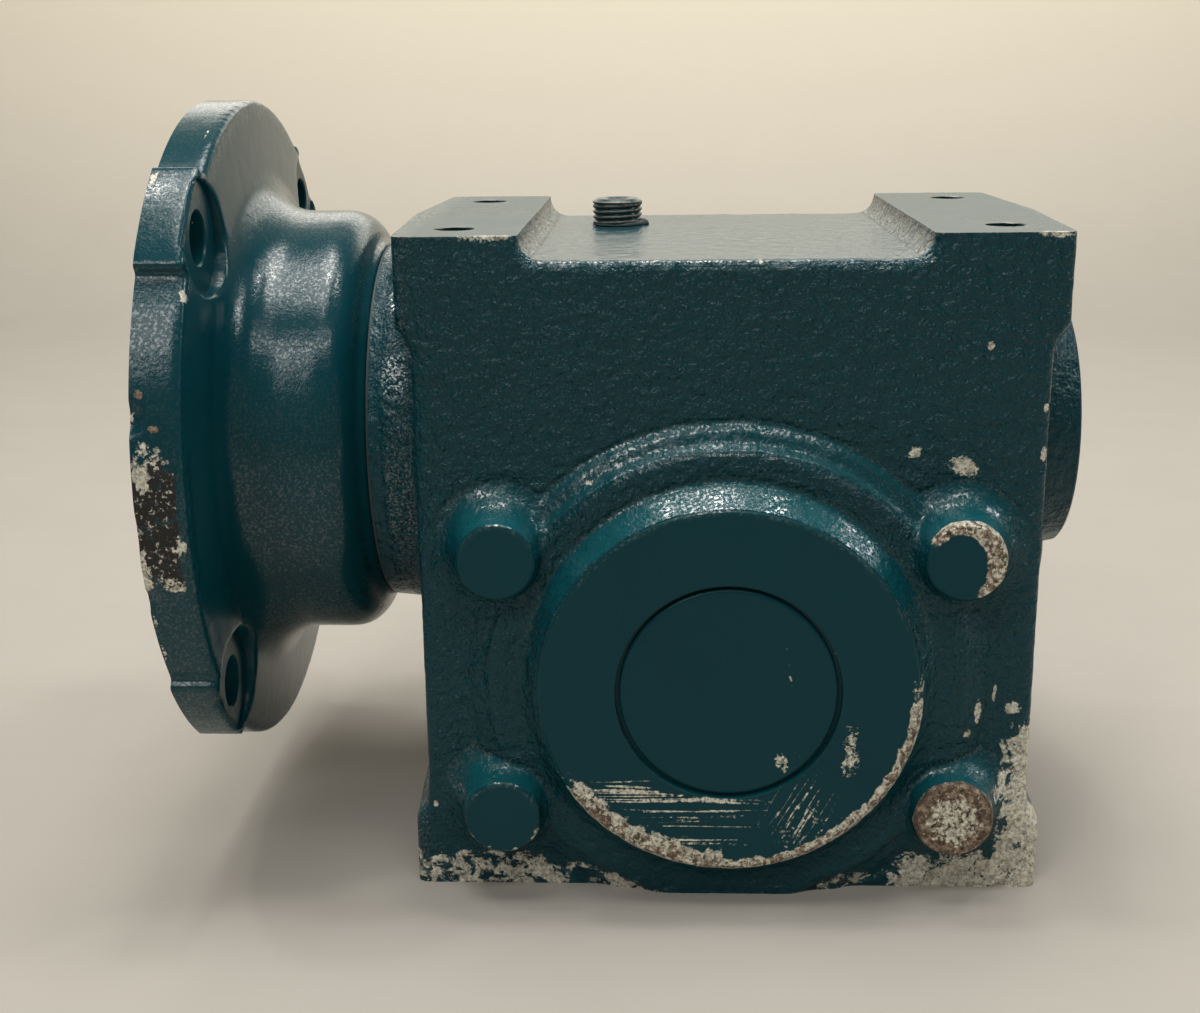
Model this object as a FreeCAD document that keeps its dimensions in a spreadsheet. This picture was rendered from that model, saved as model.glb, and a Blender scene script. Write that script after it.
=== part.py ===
import FreeCAD, Part
import math
import operator
import os
import Sketcher

# Right angle worm gear reducer with a motor flange.
# Millimetres. Origin on the base plane, at the middle of the four base holes.
# +Z is up, +X runs along the worm from the motor flange to the closed end,
# +Y runs along the output shaft towards its free end.

doc = FreeCAD.newDocument("worm_gear_reducer")
sheet = doc.addObject("Spreadsheet::Sheet", "sizes")
nodes = []


# Sizes that remember the sheet cell they come from

OPERATORS = {"+": operator.add, "-": operator.sub, "*": operator.mul, "/": operator.truediv}


class Dim:
    """A length or angle: its number now, and the sheet formula behind it."""

    def __init__(self, value, text):
        self.value = float(value)
        self.text = text

    def __add__(self, other):
        return joined(self, "+", other)

    def __radd__(self, other):
        return joined(other, "+", self)

    def __sub__(self, other):
        return joined(self, "-", other)

    def __rsub__(self, other):
        return joined(other, "-", self)

    def __mul__(self, other):
        return joined(self, "*", other)

    def __rmul__(self, other):
        return joined(other, "*", self)

    def __truediv__(self, other):
        return joined(self, "/", other)

    def __rtruediv__(self, other):
        return joined(other, "/", self)

    def __neg__(self):
        return joined(0, "-", self)


def as_dim(item):
    if isinstance(item, Dim):
        return item
    return Dim(item, f"({float(item)!r})")


def joined(left, sign, right):
    left = as_dim(left)
    right = as_dim(right)
    value = OPERATORS[sign](left.value, right.value)
    return Dim(value, f"({left.text} {sign} {right.text})")


def root_of(dim):
    return Dim(math.sqrt(dim.value), f"sqrt({dim.text})")


def cosine(angle):
    angle = as_dim(angle)
    return Dim(math.cos(math.radians(angle.value)), f"cos({angle.text} * 1 deg)")


def sine(angle):
    angle = as_dim(angle)
    return Dim(math.sin(math.radians(angle.value)), f"sin({angle.text} * 1 deg)")


def tangent(angle):
    angle = as_dim(angle)
    return Dim(math.tan(math.radians(angle.value)), f"tan({angle.text} * 1 deg)")


def arc_tangent(ratio):
    ratio = as_dim(ratio)
    return Dim(math.degrees(math.atan(ratio.value)), f"(atan({ratio.text}) / 1 deg)")


def arc_cosine(ratio):
    return Dim(math.degrees(math.acos(ratio.value)), f"(acos({ratio.text}) / 1 deg)")


def size(alias, value, meaning):
    """Write one driving size into the sheet and hand it back as a Dim."""
    row = size.rows + 1
    size.rows = row
    sheet.set(f"A{row}", meaning)
    sheet.set(f"B{row}", str(value))
    sheet.setAlias(f"B{row}", alias)
    return Dim(value, f"sizes.{alias}")


size.rows = 0

# Driving sizes: where the two shafts lie
output_height = size("output_height", 54.0, "base plane to output shaft axis")
centre_distance = size("centre_distance", 50.0, "output shaft axis to worm axis")

# Driving sizes: housing casting
face_width = size("face_width", 150.0, "width of the front and back faces")
housing_height = size("housing_height", 157.0, "base plane to pad tops")
housing_depth = size("housing_depth", 112.0, "front face to back face")
draft_growth = size("draft_growth", 2.5, "growth of each side towards the parting plane")
side_relief = size("side_relief", 3.4, "side walls set back between the corner blocks")
foot_block = size("foot_block", 17.0, "height of the lower corner blocks")
head_block = size("head_block", 20.0, "height of the upper corner blocks")
relief_run = size("relief_run", 6.7, "height of the curve from corner block to side wall")
channel_left = size("channel_left", 47.0, "top channel, left edge to middle")
channel_right = size("channel_right", 44.5, "top channel, right edge to middle")
channel_depth = size("channel_depth", 5.4, "top channel depth under the pads")
channel_fillet = size("channel_fillet", 5.0, "radius along the foot of the channel sides")
face_rounding = size("face_rounding", 1.6, "rounded side edges of the front and back faces")
cavity_half_width = size("cavity_half_width", 55.0, "gear chamber, half its width")
front_wall = size("front_wall", 5.0, "wall that carries the front bearing's shoulder")
back_wall = size("back_wall", 16.5, "wall round the output cover")
shoulder_thickness = size("shoulder_thickness", 2.0, "walls that carry the worm bearings' shoulders")
cavity_floor = size("cavity_floor", 8.0, "thickness of the base")
cavity_roof = size("cavity_roof", 14.0, "pad tops to chamber roof")
cavity_rounding = size("cavity_rounding", 8.0, "rounded edges of the gear chamber")

# Driving sizes: bosses on the casting
platform_radius = size("platform_radius", 56.0, "flat of the round platform")
platform_rise = size("platform_rise", 4.5, "platform above the wall")
platform_sunk = size("platform_sunk", 0.4, "start of the platform's curved edge under the wall")
platform_slope = size("platform_slope", 4.8, "width of the platform's curved edge")
boss_radius = size("boss_radius", 43.6, "machined face of the front boss")
boss_rise = size("boss_rise", 11.0, "boss face above the wall")
boss_flare = size("boss_flare", 4.6, "growth of the boss towards its foot")
corner_span_x = size("corner_span_x", 105.4, "corner bosses, spacing across")
corner_span_z = size("corner_span_z", 62.8, "corner bosses, spacing up")
corner_boss_radius = size("corner_boss_radius", 8.9, "end of a corner boss")
corner_boss_flare = size("corner_boss_flare", 3.6, "growth of a corner boss towards its foot")
corner_boss_drop = size("corner_boss_drop", 0.5, "corner boss ends under the boss face")
neck_radius = size("neck_radius", 45.5, "input neck of the casting")
neck_flare = size("neck_flare", 1.5, "growth of the neck towards the wall")
end_boss_radius = size("end_boss_radius", 31.5, "closed end boss of the worm")
end_boss_flare = size("end_boss_flare", 2.8, "growth of the end boss towards the wall")

# Driving sizes: fastening of the reducer
pad_span_x = size("pad_span_x", 125.6, "mounting holes in the top, spacing across")
pad_span_y = size("pad_span_y", 77.4, "mounting holes in the top, spacing front to back")
base_span_x = size("base_span_x", 127.0, "mounting holes in the base, spacing across, 5 inch")
base_span_y = size("base_span_y", 76.2, "mounting holes in the base, spacing front to back, 3 inch")
pad_hole_radius = size("pad_hole_radius", 4.7625, "mounting hole, 3/8 inch thread")
pad_hole_depth = size("pad_hole_depth", 20.0, "mounting hole depth")
motor_bolt_circle = size("motor_bolt_circle", 149.225, "motor bolt circle, 5 7/8 inch")
motor_hole_radius = size("motor_hole_radius", 6.0, "motor bolt hole")
register_radius = size("register_radius", 57.15, "motor register, 4 1/2 inch")
register_depth = size("register_depth", 5.0, "depth of the motor register")

# Driving sizes: motor adapter
flange_thickness = size("flange_thickness", 11.1, "thickness of the flange rim")
flange_radius = size("flange_radius", 81.5, "plain rim of the flange")
lug_rise = size("lug_rise", 2.4, "lugs proud of the rim")
lug_half_angle = size("lug_half_angle", 9.8, "half the angle that a lug spans")
spot_radius = size("spot_radius", 13.0, "spot face round a motor bolt hole")
spot_depth = size("spot_depth", 1.0, "spot faces below the back of the rim")
shoulder_lead = size("shoulder_lead", 2.0, "straight end of the adapter beside its seat")
cone_height = size("cone_height", 1.5, "rise of the flange back from rim to hub fillet")
cone_foot = size("cone_foot", 65.0, "radius where the flange back meets the hub fillet")
hub_radius = size("hub_radius", 54.0, "round hub of the adapter")
hub_fillet_run = size("hub_fillet_run", 11.4, "length of the fillet between flange back and hub")
hub_length = size("hub_length", 9.5, "straight length of the hub")
shoulder_run = size("shoulder_run", 8.5, "length of the hub's rounded shoulder")
bell_radius = size("bell_radius", 46.5, "inside of the bell")
web_thickness = size("web_thickness", 10.0, "web that carries the adapter screws")
pilot_length = size("pilot_length", 3.0, "pilot of the adapter in the neck bore")
quill_hole_radius = size("quill_hole_radius", 24.0, "hole in the web for the quill")
adapter_screw_circle = size("adapter_screw_circle", 38.25, "adapter screws to worm axis")
adapter_screw_radius = size("adapter_screw_radius", 3.97, "adapter screw, 5/16 inch")
adapter_screw_length = size("adapter_screw_length", 24.0, "adapter screw under its head")
socket_head_radius = size("socket_head_radius", 6.4, "head of an adapter screw")
socket_head_height = size("socket_head_height", 8.0, "head height of an adapter screw")
socket_key_radius = size("socket_key_radius", 3.6, "hex socket, centre to corner")
shoulder_step = size("shoulder_step", 1.0, "hub shoulder above the neck where they meet")
register_wall = size("register_wall", 3.0, "seat at the bottom of the motor register")
gasket_margin = size("gasket_margin", 1.0, "gaskets kept clear of the bores that they surround")
hole_runout = size("hole_runout", 1.0, "threaded holes beyond the ends of their screws")
gasket_thickness = size("gasket_thickness", 0.5, "gaskets under adapter and cover")

# Driving sizes: worm and wheel
axial_module = size("axial_module", 2.5, "axial module of worm and wheel")
wheel_teeth = size("wheel_teeth", 30, "teeth of the wheel, with a single start worm")
pressure_angle = size("pressure_angle", 20.0, "flank angle of the worm thread")
tooth_backlash = size("tooth_backlash", 0.5, "play between the flanks at the pitch line")
tip_clearance = size("tip_clearance", 0.5, "tooth tips to the root across the mesh")
thread_sunk = size("thread_sunk", 0.375, "foot of the worm thread under the root")
hollow_radius = size("hollow_radius", 45.0, "curve of the tooth gaps across the rim")
thread_turns = size("thread_turns", 8, "turns of the worm thread")
rim_half_width = size("rim_half_width", 11.0, "half the width of the bronze rim")
rim_outer_radius = size("rim_outer_radius", 41.2, "outside of the bronze rim")
rim_bore_radius = size("rim_bore_radius", 28.0, "seat of the rim on its hub")
hub_half_width = size("hub_half_width", 16.0, "half the length of the wheel hub")
hub_sleeve_radius = size("hub_sleeve_radius", 21.0, "sleeve of the wheel hub")

# Driving sizes: worm shaft
shaft_collar_height = size("shaft_collar_height", 3.0, "bearing collars of the worm shaft")
quill_sink = size("quill_sink", 7.5, "quill mouth behind the motor face")
quill_bore_radius = size("quill_bore_radius", 7.95, "quill bore, 5/8 inch")
quill_bore_depth = size("quill_bore_depth", 50.0, "depth of the quill bore")
quill_key_width = size("quill_key_width", 4.78, "keyway in the quill, 3/16 inch")
quill_key_depth = size("quill_key_depth", 2.4, "keyway depth past the bore wall")
shaft_collar_length = size("shaft_collar_length", 5.0, "collar beside the input bearing")
shaft_taper_length = size("shaft_taper_length", 10.0, "taper from collar to worm")
worm_stub_radius = size("worm_stub_radius", 12.5, "plain shaft behind the worm thread")
worm_tail_length = size("worm_tail_length", 4.0, "shaft past the end bearing")

# Driving sizes: output shaft
wheel_seat_radius = size("wheel_seat_radius", 14.0, "output shaft under the wheel hub")
shaft_shoulder_radius = size("shaft_shoulder_radius", 19.0, "collar behind the wheel hub")
shaft_shoulder_length = size("shaft_shoulder_length", 4.0, "length of that collar")
shaft_body_radius = size("shaft_body_radius", 17.5, "output shaft before the rear bearing")
extension_radius = size("extension_radius", 12.7, "free end of the output shaft, 1 inch")
extension_length = size("extension_length", 54.0, "length of the free end")
seal_land_length = size("seal_land_length", 18.0, "ground land under the output seal")
extension_key_width = size("extension_key_width", 6.35, "keyway of the free end, 1/4 inch")
extension_key_length = size("extension_key_length", 38.0, "length of that keyway")
extension_key_depth = size("extension_key_depth", 3.4, "depth of that keyway")
spacer_wall = size("spacer_wall", 3.5, "wall of the spacer between wheel hub and front bearing")
extension_chamfer = size("extension_chamfer", 1.0, "chamfer on the free end of the output shaft")
wheel_key_width = size("wheel_key_width", 8.0, "key between shaft and wheel hub")
wheel_key_height = size("wheel_key_height", 7.0, "height of that key")
wheel_key_length = size("wheel_key_length", 26.0, "length of that key")
wheel_key_sunk = size("wheel_key_sunk", 4.0, "depth of that key in the shaft")

# Driving sizes: bearings, each given by bore, outside and width
input_bore_radius = size("input_bore_radius", 17.5, "input bearing bore")
input_outer_radius = size("input_outer_radius", 31.0, "input bearing outside")
input_width = size("input_width", 14.0, "input bearing width")
input_ball_radius = size("input_ball_radius", 3.969, "input bearing ball")
end_bore_radius = size("end_bore_radius", 10.0, "end bearing bore")
end_outer_radius = size("end_outer_radius", 23.5, "end bearing outside")
end_width = size("end_width", 14.0, "end bearing width")
end_ball_radius = size("end_ball_radius", 3.969, "end bearing ball")
front_bore_radius = size("front_bore_radius", 12.5, "front output bearing bore")
front_outer_radius = size("front_outer_radius", 26.0, "front output bearing outside")
front_width = size("front_width", 15.0, "front output bearing width")
front_ball_radius = size("front_ball_radius", 3.969, "front output bearing ball")
rear_bore_radius = size("rear_bore_radius", 15.0, "rear output bearing bore")
rear_outer_radius = size("rear_outer_radius", 31.0, "rear output bearing outside")
rear_width = size("rear_width", 16.0, "rear output bearing width")
rear_ball_radius = size("rear_ball_radius", 4.7625, "rear output bearing ball")
rear_shoulder = size("rear_shoulder", 46.0, "worm axis plane to rear bearing")
cover_lip_radius = size("cover_lip_radius", 24.0, "hole of the cover between bearing and seal")
shoulder_lip = size("shoulder_lip", 3.6, "height of the shoulders that the outer rings sit on")
cage_thickness = size("cage_thickness", 1.6, "wall of a ball cage")
cage_margin = size("cage_margin", 1.4, "cage beyond the balls on each side")

# Driving sizes: output cover, caps, seals, rings and plugs
cover_thickness = size("cover_thickness", 10.0, "flange of the output cover")
cover_register = size("cover_register", 44.0, "register of the output cover")
cover_hub_radius = size("cover_hub_radius", 33.0, "outer end of the cover hub")
cover_hub_flare = size("cover_hub_flare", 2.5, "growth of the cover hub towards its flange")
cover_ear_radius = size("cover_ear_radius", 11.0, "ear round a cover screw")
cover_screw_radius = size("cover_screw_radius", 4.7625, "cover screw, 3/8 inch")
cover_screw_length = size("cover_screw_length", 24.0, "cover screw under its head")
cover_head_radius = size("cover_head_radius", 8.25, "hex head, centre to corner")
cover_head_height = size("cover_head_height", 6.2, "hex head height")
front_cap_sink = size("front_cap_sink", 0.6, "front cap under the boss face")
front_cap_gap = size("front_cap_gap", 0.5, "front cap to its retaining ring")
front_cap_thickness = size("front_cap_thickness", 3.4, "thickness of the front cap")
cap_groove_width = size("cap_groove_width", 0.7, "open groove round a pressed cap")
cap_groove_depth = size("cap_groove_depth", 1.2, "depth of that groove")
end_cap_sink = size("end_cap_sink", 0.6, "worm end cap under the boss face")
end_cap_gap = size("end_cap_gap", 6.0, "worm end cap to the end of the worm shaft")
end_cap_thickness = size("end_cap_thickness", 3.4, "thickness of the worm end cap")
input_seal_gap = size("input_seal_gap", 0.5, "input oil seal to its retaining ring")
input_seal_width = size("input_seal_width", 8.0, "width of the input oil seal")
output_seal_width = size("output_seal_width", 10.0, "width of the output oil seal")
output_seal_radius = size("output_seal_radius", 26.0, "outside of the output oil seal")
seal_wall = size("seal_wall", 2.2, "case wall of an oil seal")
cover_lip_thickness = size("cover_lip_thickness", 4.0, "cover wall between bearing and seal")
ring_thickness = size("ring_thickness", 1.5, "thickness of a retaining ring")
ring_bite = size("ring_bite", 1.3, "depth of a retaining ring in its groove")
ring_height = size("ring_height", 2.4, "retaining ring proud of its groove")
plug_x = size("plug_x", -27.2, "oil plugs, across from the middle")
plug_y = size("plug_y", 27.5, "oil plugs, back from the middle")
plug_radius = size("plug_radius", 6.6, "oil plug, 1/4 inch pipe thread")
fill_plug_proud = size("fill_plug_proud", 7.0, "fill plug above the channel floor")
drain_plug_sink = size("drain_plug_sink", 0.5, "drain plug under the base plane")
plug_key_radius = size("plug_key_radius", 3.7, "hex socket of a plug, centre to corner")
plug_key_depth = size("plug_key_depth", 5.0, "depth of that socket")

# Driving sizes: play
seat_play = size("seat_play", 0.02, "radial play of rings, caps and covers in their seats")
lip_play = size("lip_play", 0.05, "radial play of a seal lip on its shaft")
ball_play = size("ball_play", 0.09, "play of a ball in its raceway")
ring_land_share = size("ring_land_share", 0.5, "shoulders of a bearing ring from the pitch line, in balls")
pocket_play = size("pocket_play", 0.2, "play of a ball in its cage pocket")
screw_play = size("screw_play", 0.1, "radial play of a screw in its threaded hole")
clear_play = size("clear_play", 0.4, "radial play of a screw in a clearance hole")
key_play = size("key_play", 0.05, "play of a key in its keyway")
doc.recompute()

# Places worked out from the driving sizes
worm_height = output_height + centre_distance
wall_front = housing_depth / 2
half_parting = face_width / 2 + draft_growth
platform_face = wall_front + platform_rise
boss_face = wall_front + boss_rise
corner_face = boss_face - corner_boss_drop
front_cap_back = boss_face - front_cap_sink - front_cap_thickness
front_shoulder = front_cap_back - front_cap_gap - ring_thickness - front_width
cavity_front = front_shoulder - front_wall
cavity_back = platform_face - back_wall
input_shoulder = cavity_half_width + shoulder_thickness
input_seal_end = input_shoulder + input_width + ring_thickness + input_seal_gap + input_seal_width
neck_reach = input_seal_end + pilot_length
end_shoulder = cavity_half_width + shoulder_thickness
worm_end = end_shoulder + end_width + worm_tail_length
end_boss_reach = worm_end + end_cap_gap + end_cap_thickness + end_cap_sink
adapter_seat = neck_reach + gasket_thickness
adapter_web = adapter_seat + web_thickness
flange_back = (adapter_seat + shoulder_lead + shoulder_run + hub_length + hub_fillet_run + cone_height)
adapter_reach = flange_back + flange_thickness
quill_reach = adapter_reach - quill_sink
wheel_pitch_radius = axial_module * wheel_teeth / 2
worm_pitch_radius = centre_distance - wheel_pitch_radius
worm_tip_radius = worm_pitch_radius + axial_module
worm_root_radius = worm_pitch_radius - axial_module - tip_clearance
thread_pitch = math.pi * axial_module
thread_length = thread_turns * thread_pitch
lead_angle = arc_tangent(axial_module / (2 * worm_pitch_radius))
rear_bearing_end = rear_shoulder + rear_width
rear_seal_start = rear_bearing_end + cover_lip_thickness
rear_seal_end = rear_seal_start + output_seal_width
cover_seat = platform_face + gasket_thickness
cover_top = cover_seat + cover_thickness
extension_start = rear_bearing_end + seal_land_length
extension_end = extension_start + extension_length
CORNERS = [(-1, -1), (1, -1), (1, 1), (-1, 1)]
MATCH = 0.001

# Helpers that draw, turn and join

TURN_Y_TO_X = FreeCAD.Rotation(FreeCAD.Vector(0, 0, 1), 90)
FACING = {
    "+Z": FreeCAD.Rotation(),
    "-Z": FreeCAD.Rotation(FreeCAD.Vector(1, 0, 0), 180),
    "+X": FreeCAD.Rotation(FreeCAD.Vector(0, 1, 0), 90),
    "-X": FreeCAD.Rotation(FreeCAD.Vector(0, 1, 0), -90),
    "+Y": FreeCAD.Rotation(FreeCAD.Vector(1, 0, 0), -90),
    "-Y": FreeCAD.Rotation(FreeCAD.Vector(1, 0, 0), 90),
}


def bind(thing, path, dim):
    """Tie one property of a document object to its sheet formula."""
    thing.setExpression(path, as_dim(dim).text)


def place(thing, x, y, z, rotation=FreeCAD.Rotation()):
    spot = [as_dim(item) for item in (x, y, z)]
    corner = FreeCAD.Vector(*[item.value for item in spot])
    thing.Placement = FreeCAD.Placement(corner, rotation)
    for letter, item in zip("xyz", spot):
        bind(thing, f"Placement.Base.{letter}", item)
    return thing


def origin_item(body, role):
    return [item for item in body.Origin.OriginFeatures if item.Role == role][0]


def drawn(body, plane, name, outline):
    """Sketch a closed outline of points (u, v) or (u, v, radius of the arc to the next point).

    A positive radius bulges to the right of the way along the outline, a negative one to the left.
    """
    sketch = body.newObject("Sketcher::SketchObject", name)
    sketch.AttachmentSupport = (origin_item(body, plane), [""])
    sketch.MapMode = "FlatFace"
    count = len(outline)
    corners = [FreeCAD.Vector(as_dim(item[0]).value, as_dim(item[1]).value, 0) for item in outline]
    for index, item in enumerate(outline):
        start = corners[index]
        end = corners[(index + 1) % count]
        if len(item) == 2:
            sketch.addGeometry(Part.LineSegment(start, end), False)
        else:
            sketch.addGeometry(bulging_arc(start, end, as_dim(item[2]).value), False)
    for index, item in enumerate(outline):
        first, last = arc_ends(outline, index)
        following = (index + 1) % count
        sketch.addConstraint(
            Sketcher.Constraint("Coincident", index, last, following, arc_ends(outline, following)[0]))
        for kind, dim in (("DistanceX", item[0]), ("DistanceY", item[1])):
            dim = as_dim(dim)
            number = sketch.addConstraint(Sketcher.Constraint(kind, -1, 1, index, first, dim.value))
            bind(sketch, f"Constraints[{number}]", dim)
        if len(item) == 3:
            radius = as_dim(item[2])
            if radius.value < 0:
                radius = -radius
            number = sketch.addConstraint(Sketcher.Constraint("Radius", index, radius.value))
            bind(sketch, f"Constraints[{number}]", radius)
    return sketch


def arc_ends(outline, index):
    """The sketch's numbers for the start and end of one edge; an arc drawn clockwise swaps them."""
    clockwise = len(outline[index]) == 3 and as_dim(outline[index][2]).value < 0
    return (2, 1) if clockwise else (1, 2)


def bulging_arc(start, end, radius):
    chord = end - start
    half = chord.Length / 2
    rise = abs(radius) - math.sqrt(max(radius * radius - half * half, 0))
    side = FreeCAD.Vector(chord.y, -chord.x, 0).normalize()
    if radius < 0:
        side = side * -1
    middle = (start + end) * 0.5 + side * rise
    return Part.Arc(start, middle, end)


def turned(label, axis, outline, angle=360):
    """Turn an outline of (along the axis, radius) points about the worm or the output axis."""
    body = doc.addObject("PartDesign::Body", label)
    sketch = drawn(body, "XY_Plane", label + "_outline", outline)
    turning = body.newObject("PartDesign::Revolution", label + "_turning")
    turning.Profile = sketch
    turning.ReferenceAxis = (sketch, ["H_Axis"])
    turning.Angle = angle
    if axis == "worm":
        place(body, 0, 0, worm_height)
    else:
        place(body, 0, 0, output_height, TURN_Y_TO_X)
    return body


def rod(label, radius, length, facing, x, y, z):
    shape = doc.addObject("Part::Cylinder", label)
    bind(shape, "Radius", radius)
    bind(shape, "Height", length)
    return place(shape, x, y, z, FACING[facing])


def taper(label, foot_radius, top_radius, length, facing, x, y, z):
    shape = doc.addObject("Part::Cone", label)
    bind(shape, "Radius1", foot_radius)
    bind(shape, "Radius2", top_radius)
    bind(shape, "Height", length)
    return place(shape, x, y, z, FACING[facing])


def hexagon(label, corner_radius, length, facing, x, y, z):
    shape = doc.addObject("Part::Prism", label)
    shape.Polygon = 6
    bind(shape, "Circumradius", corner_radius)
    bind(shape, "Height", length)
    return place(shape, x, y, z, FACING[facing])


def block(label, low, high):
    shape = doc.addObject("Part::Box", label)
    for path, start, end in zip(("Length", "Width", "Height"), low, high):
        bind(shape, path, end - start)
    return place(shape, *low)


def fused(label, pieces):
    shape = doc.addObject("Part::MultiFuse", label)
    shape.Shapes = pieces
    return shape


def grouped(label, pieces):
    shape = doc.addObject("Part::Compound", label)
    shape.Links = pieces
    return shape


def cut(label, base, tools):
    shape = doc.addObject("Part::Cut", label)
    shape.Base = base
    shape.Tool = tools[0] if len(tools) == 1 else fused(label + "_tools", tools)
    return shape


def keep(piece):
    """List a finished sub-part; its label names its file."""
    nodes.append(piece)
    return piece


# Housing

def s_curve(start, end):
    """Two equal arcs that leave start and reach end upright, as points for an outline."""
    across = end[0] - start[0]
    along = end[1] - start[1]
    middle = (start[0] + across / 2, start[1] + along / 2)
    radius = (across * across + along * along) / (4 * across)
    if along.value < 0:
        radius = -radius
    return [(start[0], start[1], -radius), (middle[0], middle[1], radius), end]


def casting_block():
    """Side walls set back between corner blocks, drafted both ways from the parting plane."""
    half_relieved = half_parting - side_relief
    low = -draft_growth
    high = housing_height + draft_growth
    foot_top = foot_block + relief_run
    head_foot = housing_height - head_block
    right = [(half_parting, low)]
    right += s_curve((half_parting, foot_block), (half_relieved, foot_top))
    right += s_curve((half_relieved, head_foot - relief_run), (half_parting, head_foot))
    right += [(half_parting, high)]
    left = [(-half_parting, high)]
    left += s_curve((-half_parting, head_foot), (-half_relieved, head_foot - relief_run))
    left += s_curve((-half_relieved, foot_top), (-half_parting, foot_block))
    left += [(-half_parting, low)]
    body = doc.addObject("PartDesign::Body", "casting_block")
    sketch = drawn(body, "XZ_Plane", "casting_outline", right + left)
    pad = body.newObject("PartDesign::Pad", "casting_pad")
    pad.Profile = sketch
    pad.SideType = "Two sides"
    bind(pad, "Length", wall_front)
    bind(pad, "Length2", wall_front)
    draft = -arc_tangent(draft_growth / wall_front)
    bind(pad, "TaperAngle", draft)
    bind(pad, "TaperAngle2", draft)
    doc.recompute()
    rims = []
    for number, edge in enumerate(pad.Shape.Edges, 1):
        box = edge.BoundBox
        on_face = box.YLength < MATCH and abs(abs(box.Center.y) - wall_front.value) < MATCH
        if on_face and box.ZLength > MATCH:
            rims.append(f"Edge{number}")
    rounding = body.newObject("PartDesign::Fillet", "casting_rounding")
    rounding.Base = (pad, rims)
    bind(rounding, "Radius", face_rounding)
    body.Tip = rounding
    return body


def round_boss(label, side, top):
    """Stepped round boss on the front (side -1) or the back (side 1) wall."""
    foot = side * (wall_front - platform_rise)
    rise = platform_rise + platform_sunk
    start = side * (wall_front - platform_sunk)
    platform = side * platform_face
    outer = platform_radius + platform_slope
    middle = (start + side * rise / 2, platform_radius + platform_slope / 2)
    radius = side * (rise * rise + platform_slope * platform_slope) / (4 * rise)
    outline = [(foot, 0), (foot, outer), (start, outer, -radius), (*middle, radius)]
    outline.append((platform, platform_radius))
    if top is not None:
        outline.append((platform, boss_radius + boss_flare))
        outline.append((side * top, boss_radius))
        platform = side * top
    outline.append((platform, 0))
    return turned(label, "output", outline)


def corner_boss(label, side, face, across, up):
    foot = side * (wall_front - platform_rise)
    length = face - wall_front + platform_rise
    facing = "+Y" if side > 0 else "-Y"
    spot = (across * corner_span_x / 2, foot, output_height + up * corner_span_z / 2)
    return taper(label, corner_boss_radius + corner_boss_flare, corner_boss_radius, length, facing, *spot)


def casting():
    """The rough casting before any machining."""
    pieces = [casting_block()]
    pieces.append(round_boss("front_boss", -1, boss_face))
    pieces.append(round_boss("back_platform", 1, None))
    for number, (across, up) in enumerate(CORNERS, 1):
        pieces.append(corner_boss(f"front_corner_boss_{number}", -1, corner_face, across, up))
        pieces.append(corner_boss(f"back_corner_boss_{number}", 1, platform_face, across, up))
    inside = face_width / 2 - side_relief - neck_flare
    pieces.append(turned("input_neck", "worm", [
        (-inside, 0), (-neck_reach, 0), (-neck_reach, neck_radius), (-inside, neck_radius + neck_flare)]))
    pieces.append(turned("end_boss", "worm", [
        (inside, 0), (inside, end_boss_radius + end_boss_flare),
        (end_boss_reach, end_boss_radius), (end_boss_reach, 0)]))
    return fused("casting", pieces)


def channel_tool():
    """Shallow channel across the top, with rounded feet, open to front and back."""
    floor = housing_height - channel_depth
    high = housing_height + 2 * channel_depth
    reach = housing_depth
    body = doc.addObject("PartDesign::Body", "channel_tool")
    sketch = drawn(body, "XZ_Plane", "channel_outline", [
        (-channel_left, high), (-channel_left, floor + channel_fillet, channel_fillet),
        (-channel_left + channel_fillet, floor), (channel_right - channel_fillet, floor, channel_fillet),
        (channel_right, floor + channel_fillet), (channel_right, high)])
    pad = body.newObject("PartDesign::Pad", "channel_pad")
    pad.Profile = sketch
    pad.SideType = "Symmetric"
    bind(pad, "Length", 2 * reach)
    return body


def chamber_tool():
    box = block("chamber_block", (-cavity_half_width, -cavity_front, cavity_floor),
                (cavity_half_width, cavity_back, housing_height - cavity_roof))
    doc.recompute()
    shape = doc.addObject("Part::Fillet", "chamber_tool")
    shape.Base = box
    radius = cavity_rounding.value
    shape.Edges = [(number, radius, radius) for number in range(1, 13)]
    return shape


def pad_hole_tools():
    tools = []
    top = ("top", housing_height, "-Z", pad_span_x, pad_span_y)
    base = ("base", as_dim(0), "+Z", base_span_x, base_span_y)
    for level, z, facing, span_x, span_y in (top, base):
        for number, (across, back) in enumerate(CORNERS, 1):
            tools.append(rod(f"{level}_hole_{number}", pad_hole_radius, pad_hole_depth, facing,
                             across * span_x / 2, back * span_y / 2, z))
    return tools


def ring_groove(label, axis, face, outward_sign, bore_radius):
    """Groove for a retaining ring in a bore; face is the side next to the bearing."""
    outer = bore_radius + ring_bite
    far = face + outward_sign * ring_thickness
    return turned(label, axis, [
        (face, bore_radius / 2), (face, outer), (far, outer), (far, bore_radius / 2)])


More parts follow.
